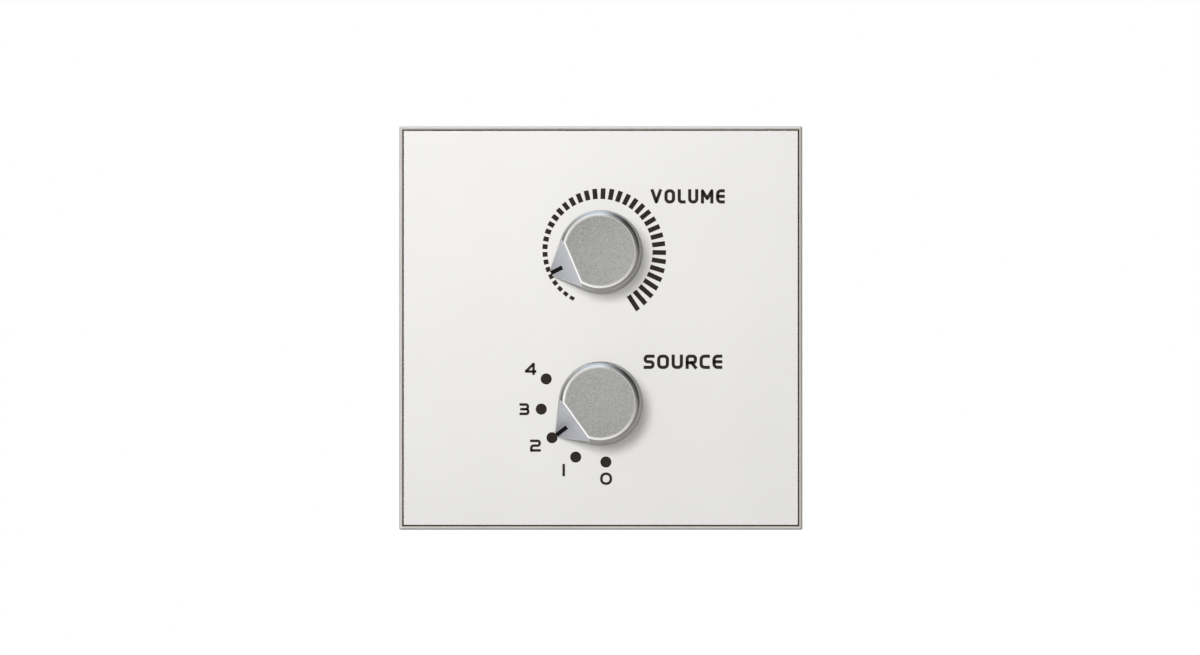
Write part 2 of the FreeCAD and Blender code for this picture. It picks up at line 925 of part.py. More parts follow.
save("trim_frame", trim_frame())
save("front_panel", front_panel())
save("support_plate", support_plate())
save("panel_grommets", panel_grommets())
save("volume_scale", volume_scale())
save("selector_scale", selector_scale())

volume_tabs = [(-volume_tab_half + stop_play, volume_tab_half - stop_play)]
tab_gap = selector_lug_half + stop_play
low_edge = selector_first - tab_gap
high_edge = selector_last + tab_gap
selector_tabs = [
    (low_edge - 2 * selector_tab_half, low_edge),
    (high_edge, high_edge + 2 * selector_tab_half),
]

controls = (
    ("volume", volume_z, volume_rest, volume_tabs, terminal_mouth(volume_z)),
    ("selector", selector_z, selector_rest, selector_tabs, None),
)
for name, z, rest, tabs, mouth in controls:
    save(name + "_bushing", bushing(z, tabs))
    save(name + "_cover", cover(z, mouth))
    save(name + "_washer", washer(z))
    save(name + "_nut", nut(z))
    save(name + "_knob", turned(knob(z), rest, z))
    save(name + "_knob_line", turned(knob_line(z), rest, z))
    save(name + "_knob_hub", turned(knob_hub(z), rest, z))
    save(name + "_knob_grip", turned(knob_grip(z), rest, z))
    save(name + "_shaft", turned(shaft(z), rest, z))
    save(name + "_shaft_clip", turned(shaft_clip(z), rest, z))

track_reach = wafer_front - film - contact_gap
save("volume_rotor", turned(volume_rotor(volume_z), volume_rest, volume_z))
save("volume_wiper", turned(moving_contact(volume_z, track_reach), volume_rest, volume_z))
save("volume_track", volume_track(volume_z))
save("volume_wafer", wafer(volume_z))
save("volume_terminals", volume_terminals(volume_z))

pad_reach = wafer_front - pad_thickness - contact_gap
save("selector_rotor", turned(selector_rotor(selector_z), selector_rest, selector_z))
save("selector_wiper", turned(moving_contact(selector_z, pad_reach), selector_rest, selector_z))
save("selector_detent_spring", detent_spring(selector_z))
save("selector_contacts", selector_contacts(selector_z))
save("selector_common", selector_common(selector_z))
save("selector_wafer", selector_wafer(selector_z))

save("circuit_board", circuit_board())
save("board_standoffs", board_standoffs())
save("board_screws", board_screws())
save("chip_resistors", chip_resistors())
save("chip_capacitors", chip_capacitors())
save("filter_capacitor_base", filter_capacitor_base())
save("filter_capacitor_can", filter_capacitor_can())
save("terminal_header", terminal_header())
save("header_pins", header_pins())
save("terminal_plug", terminal_plug())
save("plug_contacts", plug_contacts())
save("plug_clamps", plug_clamps())
save("plug_screws", plug_screws())
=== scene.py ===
# %% [markdown]
# A flush wall plate with two pointer knobs: a volume control above a five-way selector.
# Every size was settled in CAD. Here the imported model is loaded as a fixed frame, in metres,
# and this file adds what CAD leaves out: finishes, rounded edges, print, solder and light.

# %% Load the frame
import json
import math

import bmesh
import bpy
from mathutils import Matrix, Vector


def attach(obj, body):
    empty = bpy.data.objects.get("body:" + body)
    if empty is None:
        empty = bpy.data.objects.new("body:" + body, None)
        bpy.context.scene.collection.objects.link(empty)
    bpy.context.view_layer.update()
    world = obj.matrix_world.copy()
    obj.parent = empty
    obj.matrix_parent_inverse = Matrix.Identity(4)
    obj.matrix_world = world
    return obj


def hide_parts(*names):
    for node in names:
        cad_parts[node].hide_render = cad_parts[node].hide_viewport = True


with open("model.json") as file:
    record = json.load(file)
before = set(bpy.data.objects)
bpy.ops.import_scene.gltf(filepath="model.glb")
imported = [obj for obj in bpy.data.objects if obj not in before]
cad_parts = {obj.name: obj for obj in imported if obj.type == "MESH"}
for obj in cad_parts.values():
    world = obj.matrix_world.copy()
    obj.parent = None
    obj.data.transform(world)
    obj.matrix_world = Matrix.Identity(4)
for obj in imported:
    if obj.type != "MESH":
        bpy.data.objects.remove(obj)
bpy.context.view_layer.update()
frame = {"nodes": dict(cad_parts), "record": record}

nodes = frame["nodes"]
slot_of = {part["node"]: part["material_slot"] for part in frame["record"]["subparts"]}
mm = 0.001

# %% [markdown]
# The picture was taken from far away with a long lens, almost square on: nothing tapers, and
# the knobs' tops sit only a quarter of a millimetre off their feet. A 500 mm lens at 3.3 m does
# the same. It stands a little to the right of the middle and a little below it.

# %% Camera
scene = bpy.context.scene
lens = 500
sensor_width = 36
picture_width = 237.9 * mm
aim = Vector((-0.15 * mm, -9.2 * mm, 0.07 * mm))
aside = math.radians(0.7)
below = math.radians(-0.9)
distance = picture_width * lens / sensor_width
flat = math.cos(below)
towards = Vector((math.sin(aside) * flat, -math.cos(aside) * flat, math.sin(below)))
camera_data = bpy.data.cameras.new("long_lens")
camera_data.lens = lens
camera_data.sensor_width = sensor_width
camera_data.clip_start = 0.1
camera_data.clip_end = 50
camera = bpy.data.objects.new("camera", camera_data)
camera.location = aim + towards * distance
camera.rotation_mode = "QUATERNION"
camera.rotation_quaternion = (-towards).to_track_quat("-Z", "Y")
scene.collection.objects.link(camera)
bpy.context.scene.camera = camera
scene.view_settings.view_transform = "Standard"
scene.view_settings.look = "None"
print("camera at", tuple(round(c, 3) for c in camera.location))

# %% [markdown]
# Two helpers carry all the shading. A colour is written as the hex value that a picture editor
# shows, and `linear` turns it into the light values that Blender calculates with. `add` puts
# one shader node in a tree, with its settings and its links, so a finish reads from top to bottom.

# %% Colour and node helpers
def linear(hex_colour):
    """An sRGB hex colour as linear red, green, blue and alpha."""
    parts = [int(hex_colour[i : i + 2], 16) / 255 for i in (1, 3, 5)]
    return [p / 12.92 if p <= 0.04045 else ((p + 0.055) / 1.055) ** 2.4 for p in parts] + [1.0]


def add(tree, kind, values=(), links=(), stops=(), **switches):
    """One node: switches are its options, values and links fill its sockets, stops are a ramp's colours."""
    node = tree.nodes.new(kind)
    for name, choice in switches.items():
        setattr(node, name, choice)
    for socket, value in dict(values).items():
        node.inputs[socket].default_value = value
    for socket, source in dict(links).items():
        tree.links.new(source, node.inputs[socket])
    for number, (place, colour) in enumerate(stops):
        band = node.color_ramp.elements
        stop = band[number] if number < 2 else band.new(place)
        stop.position = place
        stop.color = colour if isinstance(colour, (list, tuple)) else (colour, colour, colour, 1)
    return node


# %% [markdown]
# The room is a plain one. To the lens it is all white, like the sheet behind the plate. What the
# metal mirrors is another matter, because bright metal is only as good as the room it shows. A
# world that answers by direction gives such a room without a picture of one. Two values say where
# a ray goes: `ahead` is 1 towards the lens, 0.5 sideways and 0 towards the wall, and `clockface`
# runs once round the sides.

# %% World
world = bpy.data.worlds.new("studio")
scene.world = world
world.use_nodes = True
tree = world.node_tree
tree.nodes.clear()
heading = add(tree, "ShaderNodeTexCoord").outputs["Generated"]
parts = add(tree, "ShaderNodeSeparateXYZ", links={0: heading}).outputs
ahead = add(
    tree, "ShaderNodeMapRange", {"From Min": 1.0, "From Max": -1.0}, {"Value": parts["Y"]}).outputs[0]
around = add(tree, "ShaderNodeMath", links={0: parts["Z"], 1: parts["X"]}, operation="ARCTAN2").outputs[0]
clockface = add(
    tree, "ShaderNodeMapRange", {"From Min": -math.pi, "From Max": math.pi}, {"Value": around}).outputs[0]
print("clockface: 0 left, 0.25 down, 0.5 right, 0.75 up, 1 left again")

# %% [markdown]
# The room has four zones. Round the lens is a warm pale wall, which the flat faces show. Next
# comes a ring, and beyond it the sides, and both change round the clock: a cool window overhead,
# a dark gap at the upper right that gives the knobs' shoulders their dark edge, a warm floor, and
# a bright strip at the lower left that lights the facets' edges. Behind, it is light at the upper
# left and dark below, and a middling wall stands straight back, for whoever looks from there.

# %% What the metal mirrors
sideways = add(tree, "ShaderNodeValToRGB", links={"Fac": clockface}, stops=[
    (0.0, 0.27), (1.0, 0.27), (0.03, 1.25), (0.14, 1.25), (0.17, 0.62), (0.25, (0.60, 0.575, 0.56, 1)),
    (0.375, (0.46, 0.435, 0.425, 1)), (0.47, (0.36, 0.335, 0.325, 1)), (0.53, 0.14), (0.64, 0.08),
    (0.69, (0.30, 0.33, 0.35, 1)), (0.74, (1.10, 1.26, 1.43, 1)), (0.80, (1.04, 1.17, 1.31, 1)),
    (0.875, 0.74),
]).outputs["Color"]
ring = add(tree, "ShaderNodeValToRGB", links={"Fac": clockface}, stops=[
    (0.0, 1.3), (1.0, 1.3), (0.03, 1.35), (0.14, 1.35), (0.18, 1.15), (0.25, 1.1), (0.375, 0.85),
    (0.48, 0.48), (0.54, 0.20), (0.64, 0.12), (0.70, 0.5), (0.75, (0.97, 1.02, 1.07, 1)), (0.875, 0.9),
]).outputs["Color"]
upper_left = (-0.33, 0.0, 0.94)
upwards = add(
    tree, "ShaderNodeVectorMath", {1: upper_left}, {0: heading}, operation="DOT_PRODUCT").outputs["Value"]
behind = add(
    tree, "ShaderNodeMapRange", {"From Min": -1.0, "From Max": 1.0, "To Min": 0.03, "To Max": 1.0},
    {"Value": upwards}).outputs[0]
back_wall = add(
    tree, "ShaderNodeMapRange", {"From Min": -0.72, "From Max": -0.22, "To Min": 0.12, "To Max": 0.76},
    {"Value": parts["Z"]}).outputs[0]
to_back = add(tree, "ShaderNodeMapRange", {"From Min": 0.24, "From Max": 0.14}, {"Value": ahead}).outputs[0]
behind = add(tree, "ShaderNodeMix", links={0: to_back, 2: behind, 3: back_wall}).outputs[0]
to_ring = add(tree, "ShaderNodeMapRange", {"From Min": 0.65, "From Max": 0.71}, {"Value": ahead}).outputs[0]
mirrored = add(tree, "ShaderNodeMix", links={0: to_ring, 6: sideways, 7: ring}, data_type="RGBA").outputs[2]
to_lens = add(tree, "ShaderNodeMapRange", {"From Min": 0.92, "From Max": 0.97}, {"Value": ahead}).outputs[0]
lens_wall = (0.73, 0.715, 0.648, 1)
mirrored = add(
    tree, "ShaderNodeMix", {7: lens_wall}, {0: to_lens, 6: mirrored}, data_type="RGBA").outputs[2]
to_front = add(
    tree, "ShaderNodeMapRange", {"From Min": 0.38, "From Max": 0.45}, {"Value": ahead}).outputs[0]
mirrored = add(
    tree, "ShaderNodeMix", links={0: to_front, 6: behind, 7: mirrored}, data_type="RGBA").outputs[2]

print("zones of the mirrored room, nodes so far", len(tree.nodes))

# %% [markdown]
# A Light Path node tells what kind of ray asks. The camera gets white, a mirror ray the room, and
# soft light is an even weak white. So the shadows keep their depth, and no zone tints the panel.

# %% One world for the lens, one for mirrors, one for soft light
path = add(tree, "ShaderNodeLightPath").outputs
soft = add(tree, "ShaderNodeBackground", {"Color": (1.0, 1.0, 1.0, 1), "Strength": 0.22}).outputs[0]
mirror = add(tree, "ShaderNodeBackground", {"Strength": 1.0}, {"Color": mirrored}).outputs[0]
white = add(tree, "ShaderNodeBackground", {"Color": (1.0, 1.0, 1.0, 1), "Strength": 1.0}).outputs[0]
glossy_or_soft = add(
    tree, "ShaderNodeMixShader", links={0: path["Is Glossy Ray"], 1: soft, 2: mirror}).outputs[0]
seen = add(
    tree, "ShaderNodeMixShader", links={0: path["Is Camera Ray"], 1: glossy_or_soft, 2: white}).outputs[0]
add(tree, "ShaderNodeOutputWorld", links={"Surface": seen})
print("world nodes", len(tree.nodes))

# %% [markdown]
# A key light hangs 1.6 m before the plate, a little up and to the left, so each knob drops a soft
# shadow to the lower right. How soft is set by how wide the light looks from the plate: 10 degrees
# here. A small lamp close before the plate, up and left of its middle, casts no shadow and makes
# the panel fade towards the lower right. A wide soft light overhead and two lamps behind it light
# the back. None of the three reaches the front, because they all stand behind its plane.

# %% Lights
def lamp(name, place, look_at, size, power):
    """A round soft light at a place, turned towards a point. The metal doesn't mirror it."""
    data = bpy.data.lights.new(name, "AREA")
    data.shape = "DISK"
    data.size = size
    data.energy = power
    made = bpy.data.objects.new(name, data)
    made.location = place
    made.rotation_mode = "QUATERNION"
    made.rotation_quaternion = (Vector(look_at) - Vector(place)).to_track_quat("-Z", "Y")
    made.visible_camera = False
    made.visible_glossy = False
    scene.collection.objects.link(made)
    return made


key = lamp("key", (-0.176, -1.60, 0.166), (0, 0, 0), 0.29, 13.4)
fade = lamp("fade", (-0.035, -0.16, 0.065), (0, 0, 0), 0.06, 0.080)
fade.data.use_shadow = False
overhead = lamp("overhead", (0.1, 0.95, 1.3), (0, 0.1, -0.08), 1.2, 30)
back_left = lamp("back_left", (-1.0, 1.3, 0.7), (0, 0, 0), 0.8, 40)
back_right = lamp("back_right", (1.1, 1.2, 0.3), (0, 0, 0), 0.8, 20)
print("lights", [light.name for light in (key, fade, overhead, back_left, back_right)])

# %% [markdown]
# The plate hangs in the air here, because the wall isn't part of it. A pale painted floor lies
# under it, below the edge of the picture. The floor has a sun of its own and the lamps leave it
# out, so it is as pale in front of the plate as behind. It lights nothing and shows in no metal.

# %% Floor
floor_half = 1.3
floor_height = -80 * mm
floor_mesh = bpy.data.meshes.new("floor")
bm = bmesh.new()
bmesh.ops.create_grid(bm, x_segments=1, y_segments=1, size=floor_half)
bmesh.ops.translate(bm, verts=bm.verts, vec=(0, 0, floor_height))
bm.to_mesh(floor_mesh)
bm.free()
floor = bpy.data.objects.new("floor", floor_mesh)
scene.collection.objects.link(floor)
floor.visible_glossy = False
floor.visible_diffuse = False
floor_paint = bpy.data.materials.new("pale_floor_paint")
floor_paint.use_nodes = True
tree = floor_paint.node_tree
shader = tree.nodes["Principled BSDF"]
shader.inputs["Roughness"].default_value = 0.7
place = add(tree, "ShaderNodeTexCoord").outputs["Object"]
cloud = add(tree, "ShaderNodeTexNoise", {"Scale": 6.0, "Detail": 3.0}, {"Vector": place}).outputs["Fac"]
paint = add(
    tree, "ShaderNodeValToRGB", links={"Fac": cloud},
    stops=[(0.3, linear("#DEDCD8")), (0.7, linear("#E6E5E2"))])
tree.links.new(paint.outputs["Color"], shader.inputs["Base Color"])
floor_mesh.materials.append(floor_paint)
print("floor", tuple(round(side, 2) for side in floor.dimensions))

# %% [markdown]
# Light linking says which objects a lamp reaches. A collection that holds the floor with the state
# EXCLUDE keeps the five lamps off it, and one that holds it plainly gives the sun the floor alone.

# %% Light for the floor
lamps_skip = bpy.data.collections.new("floor_left_out")
lamps_skip.objects.link(floor)
lamps_skip.collection_objects[0].light_linking.link_state = "EXCLUDE"
for light in (key, fade, overhead, back_left, back_right):
    light.light_linking.receiver_collection = lamps_skip
sun_only = bpy.data.collections.new("floor_alone")
sun_only.objects.link(floor)
sun_data = bpy.data.lights.new("floor_sun", "SUN")
sun_data.energy = 2.9
sun_data.angle = math.radians(30)
sun = bpy.data.objects.new("floor_sun", sun_data)
sun.rotation_euler = (math.radians(12), math.radians(-12), 0)
scene.collection.objects.link(sun)
sun.light_linking.receiver_collection = sun_only

# %% [markdown]
# Finishes come next. Most of them share one pattern: a cloud of slightly different shade, a
# finer grain that also changes the gloss, and the same grain as a very low relief. `surface`
# makes that base. Sizes are given in millimetres and turned to metres, because that is what
# Object coordinates are. `stretch` draws the grain out along an axis, as brushing or rolling does,
# and `spread` says how far apart the darkest and the lightest shade lie.

# %% The base of every finish
grain_share = 0.6


def surface(
        name, colours, rough, grain, relief, metallic=0.0, ior=1.5, cloud=6.0, stretch=(1, 1, 1),
        spread=0.18):
    """A material with a cloudy colour, a grain in its gloss and a low relief."""
    material = bpy.data.materials.new(name)
    material.use_nodes = True
    tree = material.node_tree
    shader = tree.nodes["Principled BSDF"]
    shader.inputs["Metallic"].default_value = metallic
    if not metallic:
        shader.inputs["IOR"].default_value = ior
    place = add(tree, "ShaderNodeTexCoord").outputs["Object"]
    drawn = add(tree, "ShaderNodeMapping", {"Scale": stretch}, {"Vector": place}).outputs[0]
    broad = add(
        tree, "ShaderNodeTexNoise", {"Scale": 1 / (cloud * mm), "Detail": 2.0},
        {"Vector": place}).outputs["Fac"]
    fine = add(
        tree, "ShaderNodeTexNoise", {"Scale": 1 / (grain * mm), "Detail": 2.0},
        {"Vector": drawn}).outputs["Fac"]
    both = add(tree, "ShaderNodeMix", {"Factor": grain_share}, {2: broad, 3: fine}).outputs[0]
    steps = [
        (0.5 - spread + 2 * spread * i / (len(colours) - 1), linear(colour))
        for i, colour in enumerate(colours)]
    shade = add(tree, "ShaderNodeValToRGB", links={"Fac": both}, stops=steps)
    tree.links.new(shade.outputs["Color"], shader.inputs["Base Color"])
    gloss = add(
        tree, "ShaderNodeMapRange",
        {"From Min": 0.3, "From Max": 0.7, "To Min": rough[0], "To Max": rough[1]}, {"Value": both})
    tree.links.new(gloss.outputs[0], shader.inputs["Roughness"])
    bump = add(tree, "ShaderNodeBump", {"Strength": 1.0, "Distance": relief * mm}, {"Height": fine})
    tree.links.new(bump.outputs[0], shader.inputs["Normal"])
    return material


# %% [markdown]
# No light gets down the narrow gap between the panel and its frame, and the function below paints that
# shade into a finish where it goes down there: from a little below the face, and only in a square ring a
# few tenths of a millimetre wide. It reads the place on the piece, so it stays put.

# %% Painted shade in the gap round the panel
def painted_gap_shade(material, deep_from, inner, outer):
    """Paints shade into a finish below a depth, in a square ring round the plate's middle. In millimetres.
    """
    tree = material.node_tree
    shader = tree.nodes["Principled BSDF"]
    unshaded = shader.inputs["Base Color"].links[0].from_socket
    place = add(
        tree, "ShaderNodeSeparateXYZ", links={0: add(tree, "ShaderNodeTexCoord").outputs["Object"]}).outputs
    wide = add(tree, "ShaderNodeMath", links={0: place["X"]}, operation="ABSOLUTE").outputs[0]
    tall = add(tree, "ShaderNodeMath", links={0: place["Z"]}, operation="ABSOLUTE").outputs[0]
    reach = add(tree, "ShaderNodeMath", links={0: wide, 1: tall}, operation="MAXIMUM").outputs[0]
    after = add(tree, "ShaderNodeMath", {1: inner * mm}, {0: reach}, operation="GREATER_THAN").outputs[0]
    before = add(tree, "ShaderNodeMath", {1: outer * mm}, {0: reach}, operation="LESS_THAN").outputs[0]
    deep = add(
        tree, "ShaderNodeMapRange",
        {"From Min": deep_from * mm, "From Max": (deep_from + 0.25) * mm, "To Max": 0.92},
        {"Value": place["Y"]}).outputs[0]
    ring = add(tree, "ShaderNodeMath", links={0: after, 1: before}, operation="MULTIPLY").outputs[0]
    share = add(tree, "ShaderNodeMath", links={0: ring, 1: deep}, operation="MULTIPLY").outputs[0]
    # painted shade: a dark violet stands for the unlit depth of the gap
    mixed = add(tree, "ShaderNodeMix", {7: linear("#221C2E")}, {0: share, 6: unshaded}, data_type="RGBA")
    tree.links.new(mixed.outputs[2], shader.inputs["Base Color"])


# %% [markdown]
# The panel is moulded ABS in signal white. Its mould was spark eroded, which gives a fine even
# texture: satin and a little warm. The real grain is about 0.05 mm; it is drawn at 0.16 mm, the
# finest that still shows.

# %% Panel plastic
finish = {}
finish["panel_white"] = surface(
    "spark_eroded_abs", ["#ECEBE8", "#F1F0EE"], (0.42, 0.50), 0.16, 0.0012, ior=1.53, cloud=18)
painted_gap_shade(finish["panel_white"], -8.85, 39.0, 39.2)
print("finish of the panel", finish["panel_white"].name)

# %% [markdown]
# The trim is an aluminium profile, brushed along its length and clear anodised. Brushing leaves
# long fine scratches, so the grain is stretched: far longer along the profile than across it. Real
# scratches are finer than 0.05 mm; they are drawn 0.12 mm wide, to show at all.

# %% Trim metal
finish["trim_aluminium"] = surface(
    "brushed_anodised_aluminium", ["#DDD9D7", "#EAE6E4"], (0.24, 0.36), 0.12, 0.0015, 1.0, cloud=9,
    stretch=(0.08, 1, 0.08))
painted_gap_shade(finish["trim_aluminium"], -9.05, 39.0, 39.45)
print("finish of the trim", finish["trim_aluminium"].name)

# %% [markdown]
# The knobs are ABS plated with satin nickel. Their flat faces are matt and finely grainy, because the mould
# was blasted there. The shoulder is smoother and the flank below it is dull. So a knob gets five finishes,
# copies of one plating whose colours also paint how light falls on them: the facets' copy is a touch bluer
# and lighter, a painted reflection; the flank's copy is darker, painted shade; the rims' copy is lighter, a
# painted highlight on top of the light that their rounding catches. The real grain is about 0.08 mm; it is
# drawn at 0.2 mm, one pixel of the picture.

# %% Knob plating
finish["knob_silver"] = surface(
    "satin_nickel_plating", ["#ABACB1", "#CDCED4"], (0.27, 0.37), 0.20, 0.0020, 1.0, cloud=40, spread=0.11)
# painted reflection: this copy of the plating is a touch bluer and lighter than the top's
facet_painted_reflection = surface(
    "satin_nickel_facet_painted_reflection", ["#B5B8C0", "#D6D9E1"], (0.27, 0.37), 0.20, 0.0020, 1.0, cloud=40, spread=0.11)
smooth_side = surface(
    "smooth_nickel_shoulder", ["#B2B1B0", "#C3C2C1"], (0.12, 0.18), 0.25, 0.0004, 1.0, cloud=4)
# painted shade: this copy of the plating is darker than the top's; its dull look is its roughness
matt_flank_painted_shade = surface("matt_nickel_flank_painted_shade", ["#8B8A8A", "#9B9A9A"], (0.5, 0.6), 0.25, 0.001, 1.0, cloud=4)
# painted highlight: this copy of the plating is lighter than the top's, for the rims and edge bevels
rim_painted_highlight = surface(
    "nickel_rim_painted_highlight", ["#DBDADA", "#EDECEC"], (0.08, 0.14), 0.3, 0.0003, 1.0, cloud=3)

# %% [markdown]
# The real facet is slightly crowned, so it mirrors a darker place the nearer one looks to its tip. The
# facet here is flat, and that darker reflection is painted into its colour: the lower a point lies, the
# darker. Its copy of the plating is also painted a touch bluer and lighter than the top's, a painted
# reflection as well.

# %% Painted reflection: facets darker towards the tip
tree = facet_painted_reflection.node_tree
shader = tree.nodes["Principled BSDF"]
even = shader.inputs["Base Color"].links[0].from_socket
place = add(
    tree, "ShaderNodeSeparateXYZ", links={0: add(tree, "ShaderNodeTexCoord").outputs["Object"]}).outputs
low = add(
    tree, "ShaderNodeMapRange", {"From Min": -23.5 * mm, "From Max": -11.6 * mm, "To Max": 0.58},
    {"Value": place["Y"]}).outputs[0]
# painted reflection: the colour darkens towards the tip
shaded = add(tree, "ShaderNodeMix", {7: linear("#80838D")}, {0: low, 6: even}, data_type="RGBA")
tree.links.new(shaded.outputs[2], shader.inputs["Base Color"])
knob_finishes = [finish["knob_silver"], rim_painted_highlight, smooth_side, matt_flank_painted_shade, facet_painted_reflection]
print("knob finishes", [material.name for material in knob_finishes])

# %% [markdown]
# The print is matt ink, screen printed: dark brown more than black, with the slightly uneven
# cover of a single pass. The knobs' lines are filled with matt black lacquer. Both are dull, so
# the shader's specular level is turned down and no white wall shows in them.

# %% Ink and lacquer
finish["print_ink"] = surface(
    "screen_printed_ink", ["#29231F", "#37312C"], (0.6, 0.7), 0.12, 0.002, cloud=2)
finish["line_black"] = surface(
    "matt_black_lacquer", ["#080807", "#101010"], (0.7, 0.8), 0.14, 0.002, cloud=1.5)
for slot, shine in (("print_ink", 0.12), ("line_black", 0.03)):
    finish[slot].node_tree.nodes["Principled BSDF"].inputs["Specular IOR Level"].default_value = shine
print("ink and lacquer", finish["print_ink"].name, finish["line_black"].name)

# %% [markdown]
# Behind the panel is plain hardware. Blue zinc plating is cloudy, with a faint blue and yellow
# cast. Turned parts carry rings from the tool, rolled spring steel carries lines along the
# strip, and a deep drawn can has lines along the way it was drawn.

# %% Metals behind the panel
finish["zinc_steel"] = surface(
    "blue_zinc_plated_steel", ["#878F98", "#A9AFB3", "#C2C0B6"], (0.24, 0.46), 0.35, 0.004, 1.0, cloud=5)
finish["spring_steel"] = surface(
    "rolled_spring_steel", ["#8F8D88", "#B4B2AC"], (0.2, 0.32), 0.1, 0.001, 1.0, stretch=(0.1, 1, 1))
finish["shaft_metal"] = surface(
    "turned_aluminium", ["#B5B2AC", "#CFCCC6"], (0.22, 0.38), 0.08, 0.002, 1.0, stretch=(0.05, 1, 0.05))
finish["bushing_metal"] = surface(
    "nickel_plated_brass", ["#A9A292", "#C9C3B4"], (0.22, 0.34), 0.12, 0.002, 1.0, stretch=(0.1, 1, 0.1))
finish["nut_metal"] = surface("bright_nickel_plate", ["#B9B5AA", "#D3CFC4"], (0.2, 0.32), 0.15, 0.0015, 1.0)
finish["can_steel"] = surface(
    "tin_plated_steel", ["#9B9D9E", "#B3B4B3", "#C9C9C6"], (0.26, 0.46), 0.14, 0.002, 1.0,
    stretch=(1, 0.08, 1))
finish["contact_metal"] = surface("tinned_brass", ["#B8B4A8", "#DAD6CA"], (0.2, 0.34), 0.1, 0.001, 1.0)
finish["clamp_metal"] = surface("zinc_plated_clamp", ["#9FA3A6", "#C6C8C8"], (0.26, 0.42), 0.12, 0.002, 1.0)
finish["can_aluminium"] = surface(
    "drawn_aluminium_can", ["#C3C4C5", "#DDDEDE"], (0.24, 0.38), 0.1, 0.001, 1.0, stretch=(1, 0.1, 1))
print("metals done, finishes so far", len(finish))

# %% [markdown]
# The plastics are moulded: a faint flow cloud and a fine matt skin. Natural nylon and acetal are
# cream, glass-filled nylon is black with a dry look, and laminates show the grain of their sheet.
# The board's green is a lacquer over copper and glass cloth, glossy, with the cloth's 0.3 mm weave.

# %% Plastics, board and ceramics
finish["nylon_natural"] = surface(
    "natural_nylon", ["#D9D2BE", "#E6E0CF"], (0.38, 0.5), 0.2, 0.002, ior=1.53)
finish["hub_black"] = surface(
    "glass_filled_nylon", ["#0C0C0D", "#191919"], (0.42, 0.58), 0.15, 0.004, ior=1.54)
finish["phenolic"] = surface(
    "phenolic_paper_laminate", ["#4E321E", "#6B4729"], (0.34, 0.5), 0.3, 0.002, ior=1.6,
    stretch=(1, 1, 0.2))
finish["rotor_plastic"] = surface(
    "natural_acetal", ["#CBC4B0", "#DBD5C4"], (0.34, 0.46), 0.2, 0.002, ior=1.48)
finish["carbon"] = surface(
    "printed_carbon_film", ["#17171A", "#242427"], (0.5, 0.64), 0.08, 0.001, ior=1.5, cloud=1.0)
finish["chip_black"] = surface(
    "fired_resistor_glaze", ["#101013", "#1F1F23"], (0.25, 0.4), 0.1, 0.002, ior=1.55, cloud=1.0)
finish["chip_tan"] = surface(
    "fired_ceramic", ["#927553", "#A88A65"], (0.4, 0.55), 0.08, 0.002, ior=1.6, cloud=1.0)
finish["base_black"] = surface(
    "moulded_base_plastic", ["#0D0D0E", "#1B1B1C"], (0.4, 0.52), 0.12, 0.002, ior=1.5)
finish["terminal_green"] = surface(
    "green_polyamide", ["#1D7340", "#2D8E53"], (0.34, 0.48), 0.25, 0.003, ior=1.53, cloud=4)
finish["board_green"] = surface(
    "green_solder_resist", ["#0B4A2A", "#156239"], (0.2, 0.3), 0.3, 0.002, ior=1.55, cloud=9)
bare_tin = surface("wetted_solder", ["#B9BABB", "#DADBDB"], (0.12, 0.28), 0.3, 0.004, 1.0, cloud=1.0)
copper_run = surface(
    "solder_resist_over_copper", ["#1A6B3C", "#257A47"], (0.18, 0.28), 0.3, 0.001, ior=1.55, cloud=3)
print("finishes", len(finish))

# %% [markdown]
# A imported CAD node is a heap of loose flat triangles, which is right for measuring but makes a
# round part look like a cut stone. `refined` takes a copy, welds it, softens only the shallow
# edges and puts a tiny bevel on the sharp ones, because no real edge is perfectly sharp. The CAD
# node itself isn't touched: the copy stands in its place.

# %% Refined copies of CAD solids
weld_distance = 0.002 * mm
flat_within = math.radians(0.5)


def finish_piece(name, bm, body, materials, crease=30.0, edge=0.0):
    """Makes the object of a finished piece, shades it, and lets it ride on its body."""
    mesh = bpy.data.meshes.new(name)
    for face in bm.faces:
        face.smooth = True
    for line in bm.edges:
        flat = len(line.link_faces) == 2 and line.calc_face_angle(0.0) > math.radians(crease)
        line.smooth = not flat
    bm.to_mesh(mesh)
    bm.free()
    for material in materials:
        mesh.materials.append(material)
    made = bpy.data.objects.new(name, mesh)
    scene.collection.objects.link(made)
    if edge:
        rounded = made.modifiers.new("soft_edges", "BEVEL")
        rounded.width = edge * mm
        rounded.segments = 2
        rounded.limit_method = "ANGLE"
        rounded.angle_limit = math.radians(crease)
        rounded.harden_normals = True
    else:
        made.modifiers.new("even_shading", "WEIGHTED_NORMAL").keep_sharp = True
    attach(made, body)
    return made


def welded(node):
    """A copy of a CAD node's mesh, with its loose triangles joined and its flat faces whole."""
    bm = bmesh.new()
    bm.from_mesh(nodes[node].data)
    bmesh.ops.remove_doubles(bm, verts=bm.verts, dist=weld_distance)
    bmesh.ops.dissolve_limit(bm, angle_limit=flat_within, verts=bm.verts, edges=bm.edges)
    return bm


def refined(node, bm, body, crease=30.0, edge=0.0):
    """Puts a welded copy in the CAD node's place."""
    slot = slot_of[node]
    made = finish_piece(node + "_finished", bm, body, [finish[slot]], crease, edge)
    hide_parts(node)
    return made


# %% [markdown]
# Turned, moulded and bent parts only need smooth shading. Parts with long straight edges, such as
# the steel plate, the cans and the terminal, also get a bevel, its width given in millimetres.

